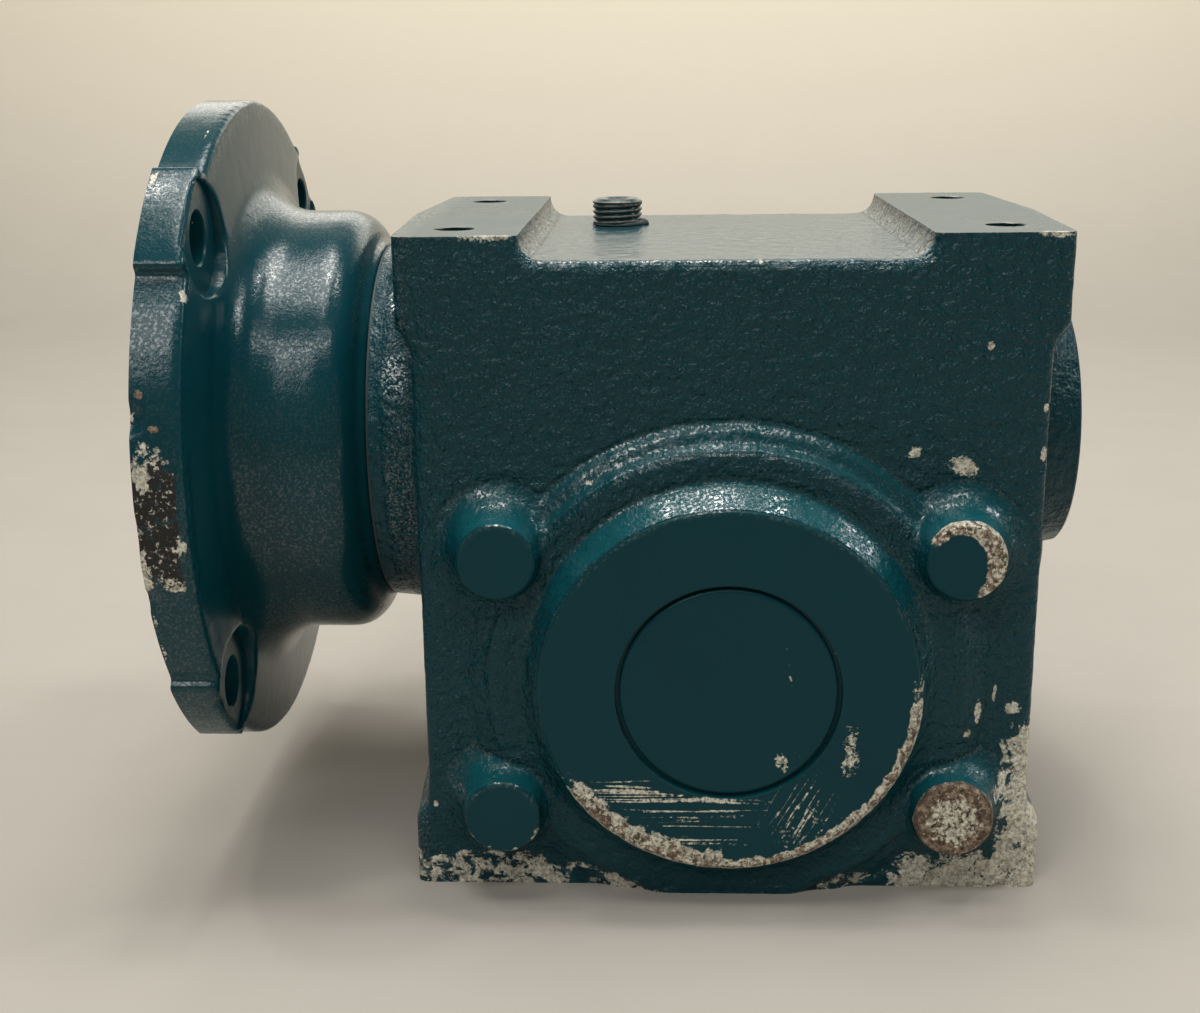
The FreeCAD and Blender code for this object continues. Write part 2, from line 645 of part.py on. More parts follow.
def bore_tools():
    """Machined bores for bearings, seals, caps and cover."""
    tools = []
    input_lip = input_outer_radius - shoulder_lip
    tools.append(turned("input_bore", "worm", [
        (-neck_reach, 0), (-neck_reach, input_outer_radius), (-input_shoulder, input_outer_radius),
        (-input_shoulder, input_lip), (-cavity_half_width + cavity_rounding, input_lip),
        (-cavity_half_width + cavity_rounding, 0)]))
    end_lip = end_outer_radius - shoulder_lip
    tools.append(turned("end_bore", "worm", [
        (cavity_half_width - cavity_rounding, 0), (cavity_half_width - cavity_rounding, end_lip),
        (end_shoulder, end_lip), (end_shoulder, end_outer_radius),
        (end_boss_reach, end_outer_radius), (end_boss_reach, 0)]))
    front_lip = front_outer_radius - shoulder_lip
    tools.append(turned("front_bore", "output", [
        (-boss_face, 0), (-boss_face, front_outer_radius), (-front_shoulder, front_outer_radius),
        (-front_shoulder, front_lip), (-cavity_front + cavity_rounding, front_lip),
        (-cavity_front + cavity_rounding, 0)]))
    tools.append(rod("cover_bore", cover_register, platform_face - cavity_back + cavity_rounding, "-Y",
                     0, platform_face, output_height))
    tools.append(ring_groove("input_groove", "worm", -input_shoulder - input_width, -1, input_outer_radius))
    tools.append(ring_groove("end_groove", "worm", end_shoulder + end_width, 1, end_outer_radius))
    tools.append(ring_groove("front_groove", "output", -front_shoulder - front_width, -1,
                             front_outer_radius))
    return tools


def screw_hole_tools():
    """Threaded holes for cover screws and adapter screws, and the two plug holes."""
    tools = []
    hole = cover_screw_radius + screw_play
    depth = cover_screw_length - cover_thickness - gasket_thickness + hole_runout
    for number, (across, up) in enumerate(CORNERS, 1):
        tools.append(rod(f"cover_screw_hole_{number}", hole, depth, "-Y", across * corner_span_x / 2,
                         platform_face, output_height + up * corner_span_z / 2))
    hole = adapter_screw_radius + screw_play
    depth = adapter_screw_length - web_thickness - gasket_thickness + hole_runout
    offset = adapter_screw_circle * math.sqrt(0.5)
    for number, (across, up) in enumerate(CORNERS, 1):
        tools.append(rod(f"adapter_screw_hole_{number}", hole, depth, "+X", -neck_reach,
                         across * offset, worm_height + up * offset))
    floor = housing_height - channel_depth
    tools.append(rod("fill_hole", plug_radius + screw_play, 2 * cavity_roof, "-Z", plug_x, plug_y, floor))
    tools.append(rod("drain_hole", plug_radius + screw_play, 2 * cavity_floor, "+Z", plug_x, plug_y, 0))
    return tools


def housing():
    reach = 2 * housing_depth
    wide = 2 * face_width
    facing_tools = [
        block("base_facing", (-wide, -reach, -housing_height), (wide, reach, as_dim(0))),
        block("top_facing", (-wide, -reach, housing_height), (wide, reach, 2 * housing_height)),
    ]
    tools = facing_tools + [channel_tool(), chamber_tool()]
    tools += pad_hole_tools() + bore_tools() + screw_hole_tools()
    return keep(cut("housing", casting(), tools))


# Motor adapter

def adapter_body():
    """Turned form of the flange, hub and bell, with four lugs on the rim."""
    cone_start = -flange_back
    cone_end = cone_start + cone_height
    hub_start = cone_end + hub_fillet_run
    hub_end = hub_start + hub_length
    shoulder_end = hub_end + shoulder_run
    shoulder_drop = hub_radius - neck_radius - shoulder_step
    fillet_drop = cone_foot - hub_radius
    fillet_radius = (hub_fillet_run * hub_fillet_run + fillet_drop * fillet_drop) / (2 * fillet_drop)
    shoulder_radius = (shoulder_run * shoulder_run + shoulder_drop * shoulder_drop) / (2 * shoulder_drop)
    pilot_radius = input_outer_radius - seat_play
    throat = -adapter_reach + register_depth
    body = turned("adapter_body", "worm", [
        (-adapter_reach, register_radius), (-adapter_reach, flange_radius),
        (-flange_back, flange_radius), (cone_end, cone_foot, fillet_radius),
        (hub_start, hub_radius), (hub_end, hub_radius, -shoulder_radius),
        (shoulder_end, hub_radius - shoulder_drop), (-adapter_seat, neck_radius),
        (-adapter_seat, pilot_radius), (-input_seal_end, pilot_radius),
        (-input_seal_end, quill_hole_radius), (-adapter_web, quill_hole_radius),
        (-adapter_web, bell_radius), (cone_end, bell_radius), (throat, register_radius - register_wall),
        (throat, register_radius)])
    outer = flange_radius + lug_rise
    inner = flange_radius - lug_rise
    low = 45 - lug_half_angle
    high = 45 + lug_half_angle
    sketch = drawn(body, "YZ_Plane", "lug_outline", [
        (inner * cosine(low), inner * sine(low)), (outer * cosine(low), outer * sine(low), outer),
        (outer * cosine(high), outer * sine(high)), (inner * cosine(high), inner * sine(high))])
    bind(sketch, "AttachmentOffset.Base.z", -adapter_reach)
    lug = body.newObject("PartDesign::Pad", "lug")
    lug.Profile = sketch
    bind(lug, "Length", flange_thickness)
    doc.recompute()
    lugs = body.newObject("PartDesign::PolarPattern", "lugs")
    lugs.Originals = [lug]
    lugs.Axis = (origin_item(body, "X_Axis"), [""])
    lugs.Angle = 360
    lugs.Occurrences = 4
    body.Tip = lugs
    return body


def motor_adapter():
    tools = []
    offset = motor_bolt_circle / 2 * math.sqrt(0.5)
    screw_offset = adapter_screw_circle * math.sqrt(0.5)
    for number, (across, up) in enumerate(CORNERS, 1):
        spot = (across * offset, worm_height + up * offset)
        tools.append(rod(f"motor_hole_{number}", motor_hole_radius, 2 * flange_thickness, "+X",
                         -adapter_reach, *spot))
        tools.append(rod(f"spot_face_{number}", spot_radius, 2 * flange_thickness, "+X",
                         -flange_back - spot_depth, *spot))
        tools.append(rod(f"adapter_clear_hole_{number}", adapter_screw_radius + clear_play,
                         2 * web_thickness, "+X", -adapter_web,
                         across * screw_offset, worm_height + up * screw_offset))
    return keep(cut("motor_adapter", adapter_body(), tools))


def adapter_screws():
    screws = []
    offset = adapter_screw_circle * math.sqrt(0.5)
    for number, (across, up) in enumerate(CORNERS, 1):
        spot = (across * offset, worm_height + up * offset)
        head_end = -adapter_web - socket_head_height
        shank = rod(f"adapter_shank_{number}", adapter_screw_radius, adapter_screw_length, "+X",
                    -adapter_web, *spot)
        head = rod(f"adapter_head_{number}", socket_head_radius, socket_head_height, "+X", head_end, *spot)
        socket = hexagon(f"adapter_socket_{number}", socket_key_radius, socket_head_height / 2, "+X",
                         head_end, *spot)
        blank = fused(f"adapter_blank_{number}", [shank, head])
        screws.append(cut(f"adapter_screw_{number}", blank, [socket]))
    return keep(grouped("adapter_bolts", screws))


def adapter_gasket():
    ring = turned("adapter_gasket_ring", "worm", [
        (-adapter_seat, input_outer_radius + gasket_margin), (-adapter_seat, neck_radius),
        (-neck_reach, neck_radius), (-neck_reach, input_outer_radius + gasket_margin)])
    offset = adapter_screw_circle * math.sqrt(0.5)
    holes = []
    for number, (across, up) in enumerate(CORNERS, 1):
        holes.append(rod(f"gasket_hole_{number}", adapter_screw_radius + clear_play, gasket_thickness,
                         "+X", -adapter_seat, across * offset, worm_height + up * offset))
    return keep(cut("adapter_gasket", ring, holes))


# Ball bearings

def round_axis(axis, along, radius, turn):
    """A point at an angle round the worm or the output axis, counted from straight up."""
    across = radius * math.sin(math.radians(turn))
    up = radius * math.cos(math.radians(turn))
    if axis == "worm":
        return along, across, worm_height + up
    return across, along, output_height + up


def outward(axis, turn):
    """Rotation that leans an upright rod out to the same angle."""
    if axis == "worm":
        return FreeCAD.Rotation(FreeCAD.Vector(1, 0, 0), -turn)
    return FreeCAD.Rotation(FreeCAD.Vector(0, 1, 0), turn)


def bearing(name, axis, start, bore, outside, width, ball, count):
    """Outer ring, inner ring, balls and cage of a deep groove bearing that begins at start."""
    pitch = (bore + outside) / 2
    middle = start + width / 2
    groove = ball + ball_play
    land = ring_land_share * ball
    half_mouth = root_of(groove * groove - land * land)
    end = start + width
    keep(turned(f"{name}_bearing_outer_ring", axis, [
        (start, outside - seat_play), (start, pitch + land), (middle - half_mouth, pitch + land, -groove),
        (middle + half_mouth, pitch + land), (end, pitch + land), (end, outside - seat_play)]))
    keep(turned(f"{name}_bearing_inner_ring", axis, [
        (start, bore + seat_play), (end, bore + seat_play), (end, pitch - land),
        (middle + half_mouth, pitch - land, -groove), (middle - half_mouth, pitch - land),
        (start, pitch - land)]))
    balls = []
    pockets = []
    for number in range(count):
        turn = 360.0 * number / count
        sphere = doc.addObject("Part::Sphere", f"{name}_ball_{number}")
        bind(sphere, "Radius", ball)
        balls.append(place(sphere, *round_axis(axis, middle, pitch, turn)))
        pocket = rod(f"{name}_pocket_{number}", ball + pocket_play, 2 * cage_thickness, "+Z", 0, 0, 0)
        foot = round_axis(axis, middle, pitch - cage_thickness, turn)
        pockets.append(place(pocket, *foot, outward(axis, turn)))
    keep(grouped(f"{name}_bearing_balls", balls))
    half = ball + cage_margin
    blank = turned(f"{name}_cage_blank", axis, [
        (middle - half, pitch - cage_thickness / 2), (middle + half, pitch - cage_thickness / 2),
        (middle + half, pitch + cage_thickness / 2), (middle - half, pitch + cage_thickness / 2)])
    keep(cut(f"{name}_bearing_cage", blank, [grouped(f"{name}_pockets", pockets)]))


def bearings():
    bearing("input", "worm", -input_shoulder - input_width, input_bore_radius, input_outer_radius,
            input_width, input_ball_radius, 11)
    bearing("end", "worm", end_shoulder, end_bore_radius, end_outer_radius, end_width, end_ball_radius, 8)
    bearing("front", "output", -front_shoulder - front_width, front_bore_radius, front_outer_radius,
            front_width, front_ball_radius, 9)
    bearing("rear", "output", rear_shoulder, rear_bore_radius, rear_outer_radius, rear_width,
            rear_ball_radius, 9)


# Retaining rings, seals, caps and plugs

def bore_ring(label, axis, face, direction, bore_radius):
    """Open ring sprung into a groove of a bore; face is the side next to the bearing."""
    far = face + direction * ring_thickness
    outer = bore_radius + ring_bite - seat_play
    inner = bore_radius - ring_height
    return keep(turned(label, axis, [(face, inner), (face, outer), (far, outer), (far, inner)], 330))


def oil_seal(label, axis, air_face, inward, width, outside, shaft):
    """Pressed case, closed towards the air, with a lip on the shaft that leans towards the oil."""
    oil_face = air_face + inward * width
    lip = shaft + lip_play
    case = outside - seat_play
    wall = inward * seal_wall
    return keep(turned(label, axis, [
        (air_face, lip + seal_wall), (air_face, case), (oil_face, case), (oil_face, case - seal_wall),
        (air_face + wall, case - seal_wall), (air_face + wall, lip + 2 * seal_wall),
        (air_face + 2 * wall, lip + seal_wall), (air_face + 3 * wall, lip + seal_wall),
        (air_face + 2 * wall, lip), (air_face + wall, lip)]))


def pressed_cap(label, axis, face, direction, thickness, bore_radius):
    """Round cap pressed into a bore, with an open groove round its visible face."""
    radius = bore_radius - seat_play
    inner = face + direction * thickness
    step = face + direction * cap_groove_depth
    return keep(turned(label, axis, [
        (face, 0), (face, radius - cap_groove_width), (step, radius - cap_groove_width),
        (step, radius), (inner, radius), (inner, 0)]))


def small_closures():
    bore_ring("input_retaining_ring", "worm", -input_shoulder - input_width, -1, input_outer_radius)
    bore_ring("end_retaining_ring", "worm", end_shoulder + end_width, 1, end_outer_radius)
    bore_ring("front_retaining_ring", "output", -front_shoulder - front_width, -1, front_outer_radius)
    oil_seal("input_oil_seal", "worm", -input_seal_end, 1, input_seal_width, input_outer_radius,
             input_bore_radius)
    oil_seal("output_oil_seal", "output", rear_seal_end, -1, output_seal_width, output_seal_radius,
             rear_bore_radius)
    pressed_cap("front_end_cap", "output", -boss_face + front_cap_sink, 1, front_cap_thickness,
                front_outer_radius)
    pressed_cap("worm_end_cap", "worm", end_boss_reach - end_cap_sink, -1, end_cap_thickness,
                end_outer_radius)


def oil_plug(label, low, high, mouth_up):
    """Threaded pipe plug with a hex socket in its outer end."""
    blank = rod(label + "_blank", plug_radius, high - low, "+Z", plug_x, plug_y, low)
    if mouth_up:
        socket = hexagon(label + "_socket", plug_key_radius, plug_key_depth, "-Z", plug_x, plug_y, high)
    else:
        socket = hexagon(label + "_socket", plug_key_radius, plug_key_depth, "+Z", plug_x, plug_y, low)
    return keep(cut(label, blank, [socket]))


def oil_plugs():
    floor = housing_height - channel_depth
    oil_plug("fill_plug", housing_height - cavity_roof, floor + fill_plug_proud, True)
    oil_plug("drain_plug", drain_plug_sink, cavity_floor, False)


# Worm and wheel

def worm_shaft():
    """Quill, input journal, worm thread and end journal in one piece."""
    collar = input_bore_radius + shaft_collar_height
    thread_half = thread_length / 2
    collar_end = -input_shoulder + shaft_collar_length
    taper_end = collar_end + shaft_taper_length
    stub = end_bore_radius + shaft_collar_height
    relief = thread_pitch / 2
    groove_start = end_shoulder + end_width
    groove_end = groove_start + ring_thickness
    groove_floor = end_bore_radius - ring_bite
    body = turned("worm_shaft_blank", "worm", [
        (-quill_reach, 0), (-quill_reach, input_bore_radius), (-input_shoulder, input_bore_radius),
        (-input_shoulder, collar), (collar_end, collar), (taper_end, worm_stub_radius),
        (-thread_half - relief, worm_stub_radius), (-thread_half - relief, worm_root_radius),
        (thread_half + relief, worm_root_radius), (thread_half + relief, stub), (end_shoulder, stub),
        (end_shoulder, end_bore_radius), (groove_start, end_bore_radius), (groove_start, groove_floor),
        (groove_end, groove_floor), (groove_end, end_bore_radius), (worm_end, end_bore_radius),
        (worm_end, 0)])
    half_pitch = thread_pitch / 4 - tooth_backlash / 4
    slope = tangent(pressure_angle)
    half_tip = half_pitch - axial_module * slope
    half_root = half_pitch + (worm_pitch_radius - worm_root_radius + thread_sunk) * slope
    sketch = drawn(body, "XY_Plane", "thread_outline", [
        (-thread_half - half_root, worm_root_radius - thread_sunk),
        (-thread_half - half_tip, worm_tip_radius),
        (-thread_half + half_tip, worm_tip_radius),
        (-thread_half + half_root, worm_root_radius - thread_sunk)])
    thread = body.newObject("PartDesign::AdditiveHelix", "worm_thread")
    thread.Profile = sketch
    thread.ReferenceAxis = (sketch, ["H_Axis"])
    thread.Mode = 0
    bind(thread, "Pitch", thread_pitch)
    bind(thread, "Height", thread_length)
    half_turns = -90 - 180 * thread_turns
    place(body, 0, 0, worm_height, FreeCAD.Rotation(FreeCAD.Vector(1, 0, 0), half_turns.value))
    mouth = quill_bore_depth
    bore = rod("quill_bore", quill_bore_radius, mouth, "+X", -quill_reach, 0, worm_height)
    half_key = quill_key_width / 2
    keyway = block("quill_keyway", (-quill_reach, -half_key, worm_height),
                   (-quill_reach + mouth, half_key, worm_height + quill_bore_radius + quill_key_depth))
    return keep(cut("worm_shaft", body, [bore, keyway]))


def worm_shaft_ring():
    face = end_shoulder + end_width
    inner = end_bore_radius - ring_bite + seat_play
    outer = end_bore_radius + ring_height
    return keep(turned("worm_shaft_ring", "worm", [
        (face, inner), (face, outer), (face + ring_thickness, outer), (face + ring_thickness, inner)], 330))


def involute(angle):
    return tangent(angle) - angle * math.pi / 180


def gap_half_width(radius, base_radius):
    """Half the tooth gap of the wheel at a radius: involute flanks plus half the play."""
    spread = math.pi / (2 * wheel_teeth) - involute(pressure_angle)
    if radius.value > base_radius.value:
        spread = spread + involute(arc_cosine(base_radius / radius))
    return radius * spread + tooth_backlash / 4


def worm_wheel():
    """Bronze rim with a hollow throat; every tooth gap is a slanted groove, hollowed along the rim."""
    throat = worm_root_radius + tip_clearance
    lift = centre_distance - rim_outer_radius
    half_throat = root_of(throat * throat - lift * lift)
    body = turned("worm_wheel", "output", [
        (-rim_half_width, rim_bore_radius), (rim_half_width, rim_bore_radius),
        (rim_half_width, rim_outer_radius), (half_throat, rim_outer_radius, -throat),
        (-half_throat, rim_outer_radius), (-rim_half_width, rim_outer_radius)])
    base_radius = wheel_pitch_radius * cosine(pressure_angle)
    root = centre_distance - worm_tip_radius - tip_clearance
    ring_height_above = root + hollow_radius
    throat_floor = centre_distance - throat
    levels = [root, wheel_pitch_radius, throat_floor, throat_floor + axial_module / 2]
    right = [(gap_half_width(level, base_radius), level) for level in levels]
    left = [(-half, level) for half, level in reversed(right)]
    sketch = drawn(body, "YZ_Plane", "gap_outline", right + left)
    sketch.AttachmentOffset = FreeCAD.Placement(
        FreeCAD.Vector(), FreeCAD.Rotation(FreeCAD.Vector(0, 1, 0), -lead_angle.value))
    pivot = ring_height_above.value
    start = FreeCAD.Vector(-wheel_pitch_radius.value, pivot, 0)
    end = FreeCAD.Vector(wheel_pitch_radius.value, pivot, 0)
    line = sketch.addGeometry(Part.LineSegment(start, end), True)
    sketch.addConstraint(Sketcher.Constraint("Horizontal", line))
    number = sketch.addConstraint(Sketcher.Constraint("DistanceY", -1, 1, line, 1, pivot))
    bind(sketch, f"Constraints[{number}]", ring_height_above)
    doc.recompute()
    gap = body.newObject("PartDesign::Groove", "tooth_gap")
    gap.Profile = sketch
    gap.ReferenceAxis = (sketch, ["Axis0"])
    gap.Angle = 360
    doc.recompute()
    gaps = body.newObject("PartDesign::PolarPattern", "tooth_gaps")
    gaps.Originals = [gap]
    gaps.Axis = (origin_item(body, "X_Axis"), [""])
    gaps.Angle = 360
    bind(gaps, "Occurrences", wheel_teeth)
    body.Tip = gaps
    return keep(body)


def key_block(label, play):
    """The wheel key, or with play the keyway that it lies in."""
    half = wheel_key_width / 2 + play
    half_length = wheel_key_length / 2
    low = output_height + wheel_seat_radius - wheel_key_sunk
    return block(label, (-half, -half_length, low - play),
                 (half, half_length, low + wheel_key_height + play))


def wheel_hub():
    rim_seat = rim_bore_radius - seat_play
    bore = wheel_seat_radius + seat_play
    blank = turned("wheel_hub_blank", "output", [
        (-hub_half_width, bore), (hub_half_width, bore), (hub_half_width, hub_sleeve_radius),
        (rim_half_width, hub_sleeve_radius), (rim_half_width, rim_seat), (-rim_half_width, rim_seat),
        (-rim_half_width, hub_sleeve_radius), (-hub_half_width, hub_sleeve_radius)])
    keep(cut("wheel_hub", blank, [key_block("hub_keyway", key_play)]))
    keep(key_block("wheel_key", as_dim(0)))
    keep(turned("wheel_spacer", "output", [
        (-front_shoulder, wheel_seat_radius + seat_play), (-hub_half_width, wheel_seat_radius + seat_play),
        (-hub_half_width, wheel_seat_radius + spacer_wall),
        (-front_shoulder, wheel_seat_radius + spacer_wall)]))


def output_shaft():
    front_end = -front_shoulder - front_width - ring_thickness
    collar_end = hub_half_width + shaft_shoulder_length
    blank = turned("output_shaft_blank", "output", [
        (front_end, 0), (front_end, front_bore_radius), (-front_shoulder, front_bore_radius),
        (-front_shoulder, wheel_seat_radius), (hub_half_width, wheel_seat_radius),
        (hub_half_width, shaft_shoulder_radius), (collar_end, shaft_shoulder_radius),
        (collar_end, shaft_body_radius), (rear_shoulder, shaft_body_radius),
        (rear_shoulder, rear_bore_radius), (extension_start, rear_bore_radius),
        (extension_start, extension_radius), (extension_end - extension_chamfer, extension_radius),
        (extension_end, extension_radius - extension_chamfer), (extension_end, 0)])
    half = extension_key_width / 2
    top = output_height + extension_radius
    keyway = block("extension_keyway",
                   (-half, extension_end - extension_key_length, top - extension_key_depth),
                   (half, extension_end + extension_key_depth, top + extension_key_depth))
    return keep(cut("output_shaft", blank, [key_block("shaft_keyway", key_play), keyway]))


# Output cover

def output_cover():
    pieces = [turned("cover_turning", "output", [
        (rear_shoulder, rear_outer_radius), (rear_bearing_end, rear_outer_radius),
        (rear_bearing_end, cover_lip_radius), (rear_seal_start, cover_lip_radius),
        (rear_seal_start, output_seal_radius), (rear_seal_end, output_seal_radius),
        (rear_seal_end, cover_hub_radius), (cover_top, cover_hub_radius + cover_hub_flare),
        (cover_top, platform_radius), (cover_seat, platform_radius),
        (cover_seat, cover_register - seat_play), (rear_shoulder, cover_register - seat_play)])]
    tools = []
    for number, (across, up) in enumerate(CORNERS, 1):
        spot = (across * corner_span_x / 2, cover_seat, output_height + up * corner_span_z / 2)
        pieces.append(rod(f"cover_ear_{number}", cover_ear_radius, cover_thickness, "+Y", *spot))
        tools.append(rod(f"cover_clear_hole_{number}", cover_screw_radius + clear_play, cover_thickness,
                         "+Y", *spot))
    tools.append(block("cover_base_facing", (-face_width, as_dim(0), -housing_height),
                       (face_width, extension_end, as_dim(0))))
    keep(cut("output_cover", fused("cover_casting", pieces), tools))


def cover_gasket():
    pieces = [turned("gasket_ring", "output", [
        (platform_face, cover_register + gasket_margin), (platform_face, platform_radius),
        (cover_seat, platform_radius), (cover_seat, cover_register + gasket_margin)])]
    tools = []
    for number, (across, up) in enumerate(CORNERS, 1):
        spot = (across * corner_span_x / 2, platform_face, output_height + up * corner_span_z / 2)
        pieces.append(rod(f"gasket_ear_{number}", cover_ear_radius, gasket_thickness, "+Y", *spot))
        tools.append(rod(f"cover_gasket_hole_{number}", cover_screw_radius + clear_play, gasket_thickness,
                         "+Y", *spot))
    tools.append(block("gasket_trim", (-face_width, as_dim(0), -housing_height),
                       (face_width, extension_end, as_dim(0))))
    keep(cut("cover_gasket", fused("gasket_sheet", pieces), tools))


def cover_screws():
    screws = []
    for number, (across, up) in enumerate(CORNERS, 1):
        spot = (across * corner_span_x / 2, cover_top, output_height + up * corner_span_z / 2)
        head = hexagon(f"cover_head_{number}", cover_head_radius, cover_head_height, "+Y", *spot)
        shank = rod(f"cover_shank_{number}", cover_screw_radius, cover_screw_length, "-Y", *spot)
        screws.append(fused(f"cover_screw_{number}", [head, shank]))
    keep(grouped("cover_bolts", screws))


# Build, check and write

housing()
motor_adapter()
adapter_screws()
adapter_gasket()
bearings()
small_closures()
oil_plugs()
worm_shaft()
worm_shaft_ring()
worm_wheel()
wheel_hub()
output_shaft()
output_cover()
cover_gasket()
cover_screws()
doc.recompute()

for item in doc.Objects:
    if "Invalid" in item.State or "Error" in item.State:
        raise RuntimeError(f"{item.Label} did not build: {item.State}")
for node in nodes:
    if node.Shape.isNull() or not node.Shape.isValid():
        raise RuntimeError(f"{node.Label} has no valid shape")

os.makedirs("parts", exist_ok=True)
for node in nodes:
    node.Shape.exportStep(f"parts/{node.Label}.step")
    print(node.Label, len(node.Shape.Solids), round(node.Shape.Volume))
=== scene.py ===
# %% [markdown]
# # A right angle worm gear reducer
# The real object is a cast iron gearbox, painted dark teal, with a motor flange on its left and a
# pressed cap in the round boss on its front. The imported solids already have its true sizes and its
# joints. This lesson gives them what a foundry, a paint shop and some years of use give iron.

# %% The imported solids
import math
from contextlib import contextmanager

import bmesh
import bpy
import numpy as np
from mathutils import Matrix, Vector


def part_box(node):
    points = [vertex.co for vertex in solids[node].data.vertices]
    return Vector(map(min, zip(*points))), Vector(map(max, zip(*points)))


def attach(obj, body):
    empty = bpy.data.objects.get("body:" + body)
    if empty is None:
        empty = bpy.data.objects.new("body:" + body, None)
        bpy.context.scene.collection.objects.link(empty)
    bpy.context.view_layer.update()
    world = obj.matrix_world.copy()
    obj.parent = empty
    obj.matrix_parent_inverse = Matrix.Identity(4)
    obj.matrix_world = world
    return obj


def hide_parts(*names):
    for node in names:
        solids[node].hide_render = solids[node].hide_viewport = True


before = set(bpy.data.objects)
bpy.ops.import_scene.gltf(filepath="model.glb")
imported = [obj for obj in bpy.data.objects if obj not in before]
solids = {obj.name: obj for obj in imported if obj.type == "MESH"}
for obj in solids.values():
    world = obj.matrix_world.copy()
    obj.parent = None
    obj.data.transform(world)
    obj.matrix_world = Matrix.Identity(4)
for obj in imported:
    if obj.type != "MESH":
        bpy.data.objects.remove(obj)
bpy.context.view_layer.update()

# %% [markdown]
# ## Camera
# The photograph was taken from a little above the front, slightly turned and tilted. Its place was
# found by matching the corners of the front face, so the numbers below are a place, three angles and
# a focal length in pixels of the 1200 wide picture. A matrix built from the view's own three
# directions is surer than a chain of Euler angles.

# %% Camera at the photograph's place
MM = 0.001
PICTURE_WIDTH, FOCAL_PIXELS = 1200, 1598.6
CAMERA_PLACE = (-14.3, -408.2, 192.6)
YAW, PITCH, ROLL = (math.radians(angle) for angle in (-2.44, 15.39, -0.69))


def placed(name, data):
    """An object for a mesh, a lamp or a camera, put into the scene."""
    made = bpy.data.objects.new(name, data)
    bpy.context.scene.collection.objects.link(made)
    return made


def camera_at_photograph():
    level = Vector((math.cos(YAW), -math.sin(YAW), 0))
    ahead = Vector((math.sin(YAW) * math.cos(PITCH), math.cos(YAW) * math.cos(PITCH), -math.sin(PITCH)))
    upward = level.cross(ahead)
    right = level * math.cos(ROLL) + upward * math.sin(ROLL)
    up = upward * math.cos(ROLL) - level * math.sin(ROLL)
    lens = bpy.data.cameras.new("photograph")
    lens.sensor_fit, lens.sensor_width = "HORIZONTAL", 36
    lens.lens = FOCAL_PIXELS / PICTURE_WIDTH * lens.sensor_width
    lens.clip_start = 0.01
    camera = placed("photograph", lens)
    turn = Matrix((right, up, -ahead)).transposed()
    camera.matrix_world = Matrix.Translation(Vector(CAMERA_PLACE) * MM) @ turn.to_4x4()
    bpy.context.scene.camera = camera
    return camera


print("lens in mm:", round(camera_at_photograph().data.lens, 2))

# %% [markdown]
# ## Sums on sockets
# Paint, chips and casting grain are all sums of noises. Written node by node they are unreadable, so
# one small class stands for an output socket: a sum on it adds a Math node, and any other node comes
# from its one method, which takes the type, the settings and the socket values.

# %% A socket that can be added up


class Signal:
    """One output socket of a node tree; sums of signals and numbers become Math nodes."""

    def __init__(self, tree, socket=None):
        self.tree, self.socket = tree, socket

    def node(self, kind, settings=None, sockets=None, out=0):
        """Adds a node: its settings first, then the values or links of its sockets."""
        made = self.tree.nodes.new(kind)
        for name, value in (settings or {}).items():
            setattr(made, name, value)
        for name, value in (sockets or {}).items():
            if isinstance(value, Signal):
                self.tree.links.new(value.socket, made.inputs[name])
            else:
                made.inputs[name].default_value = value
        return Signal(self.tree, made.outputs[out] if made.outputs else None)

    def sum(self, operation, first, second=0.0, clamp=False):
        settings = {"operation": operation, "use_clamp": clamp}
        return self.node("ShaderNodeMath", settings, {0: first, 1: second})

    def __add__(self, other):
        return self.sum("ADD", self, other)

    def __radd__(self, other):
        return self.sum("ADD", other, self)

    def __sub__(self, other):
        return self.sum("SUBTRACT", self, other)

    def __rsub__(self, other):
        return self.sum("SUBTRACT", other, self)

    def __mul__(self, other):
        return self.sum("MULTIPLY", self, other)

    def __rmul__(self, other):
        return self.sum("MULTIPLY", other, self)

    def clamped(self):
        return self.sum("ADD", self, 0.0, clamp=True)

    def larger(self, other):
        return self.sum("MAXIMUM", self, other)

    def vector(self, operation, other, out=0):
        return self.node("ShaderNodeVectorMath", {"operation": operation}, {0: self, 1: other}, out)

    def scaled(self, sizes):
        """This vector with each of its parts multiplied."""
        return self.vector("MULTIPLY", sizes)

    def mixed(self, first, second):
        """A colour between two, this signal being the share of the second."""
        first, second = (end if isinstance(end, Signal) else (*end, 1) for end in (first, second))
        return self.node("ShaderNodeMix", {"data_type": "RGBA"}, {0: self, 6: first, 7: second}, out=2)

    def noise(self, per_mm, detail=3.0, roughness=0.55, distortion=0.0):
        """Noise on this vector of millimetres, with so many waves per millimetre."""
        sockets = {"Vector": self, "Scale": per_mm, "Detail": detail, "Roughness": roughness,
                   "Distortion": distortion}
        return self.node("ShaderNodeTexNoise", None, sockets)

    def layer(self, name):
        """A value stored on the mesh's points."""
        return self.node("ShaderNodeAttribute", {"attribute_name": name}, None, out=2)


def finish(name):
    """An empty material, the signal it starts from, and its place in millimetres."""
    made = bpy.data.materials.new(name)
    made.use_nodes = True
    made.node_tree.nodes.clear()
    start = Signal(made.node_tree)
    place = start.node("ShaderNodeTexCoord", None, None, out=3).scaled((1000, 1000, 1000))
    return made, start, place


def coated(start, **sockets):
    """Closes a material with one principled shader; underscores in names stand for spaces."""
    sockets = {name.replace("_", " "): value for name, value in sockets.items()}
    shader = start.node("ShaderNodeBsdfPrincipled", None, sockets)
    start.node("ShaderNodeOutputMaterial", None, {"Surface": shader})


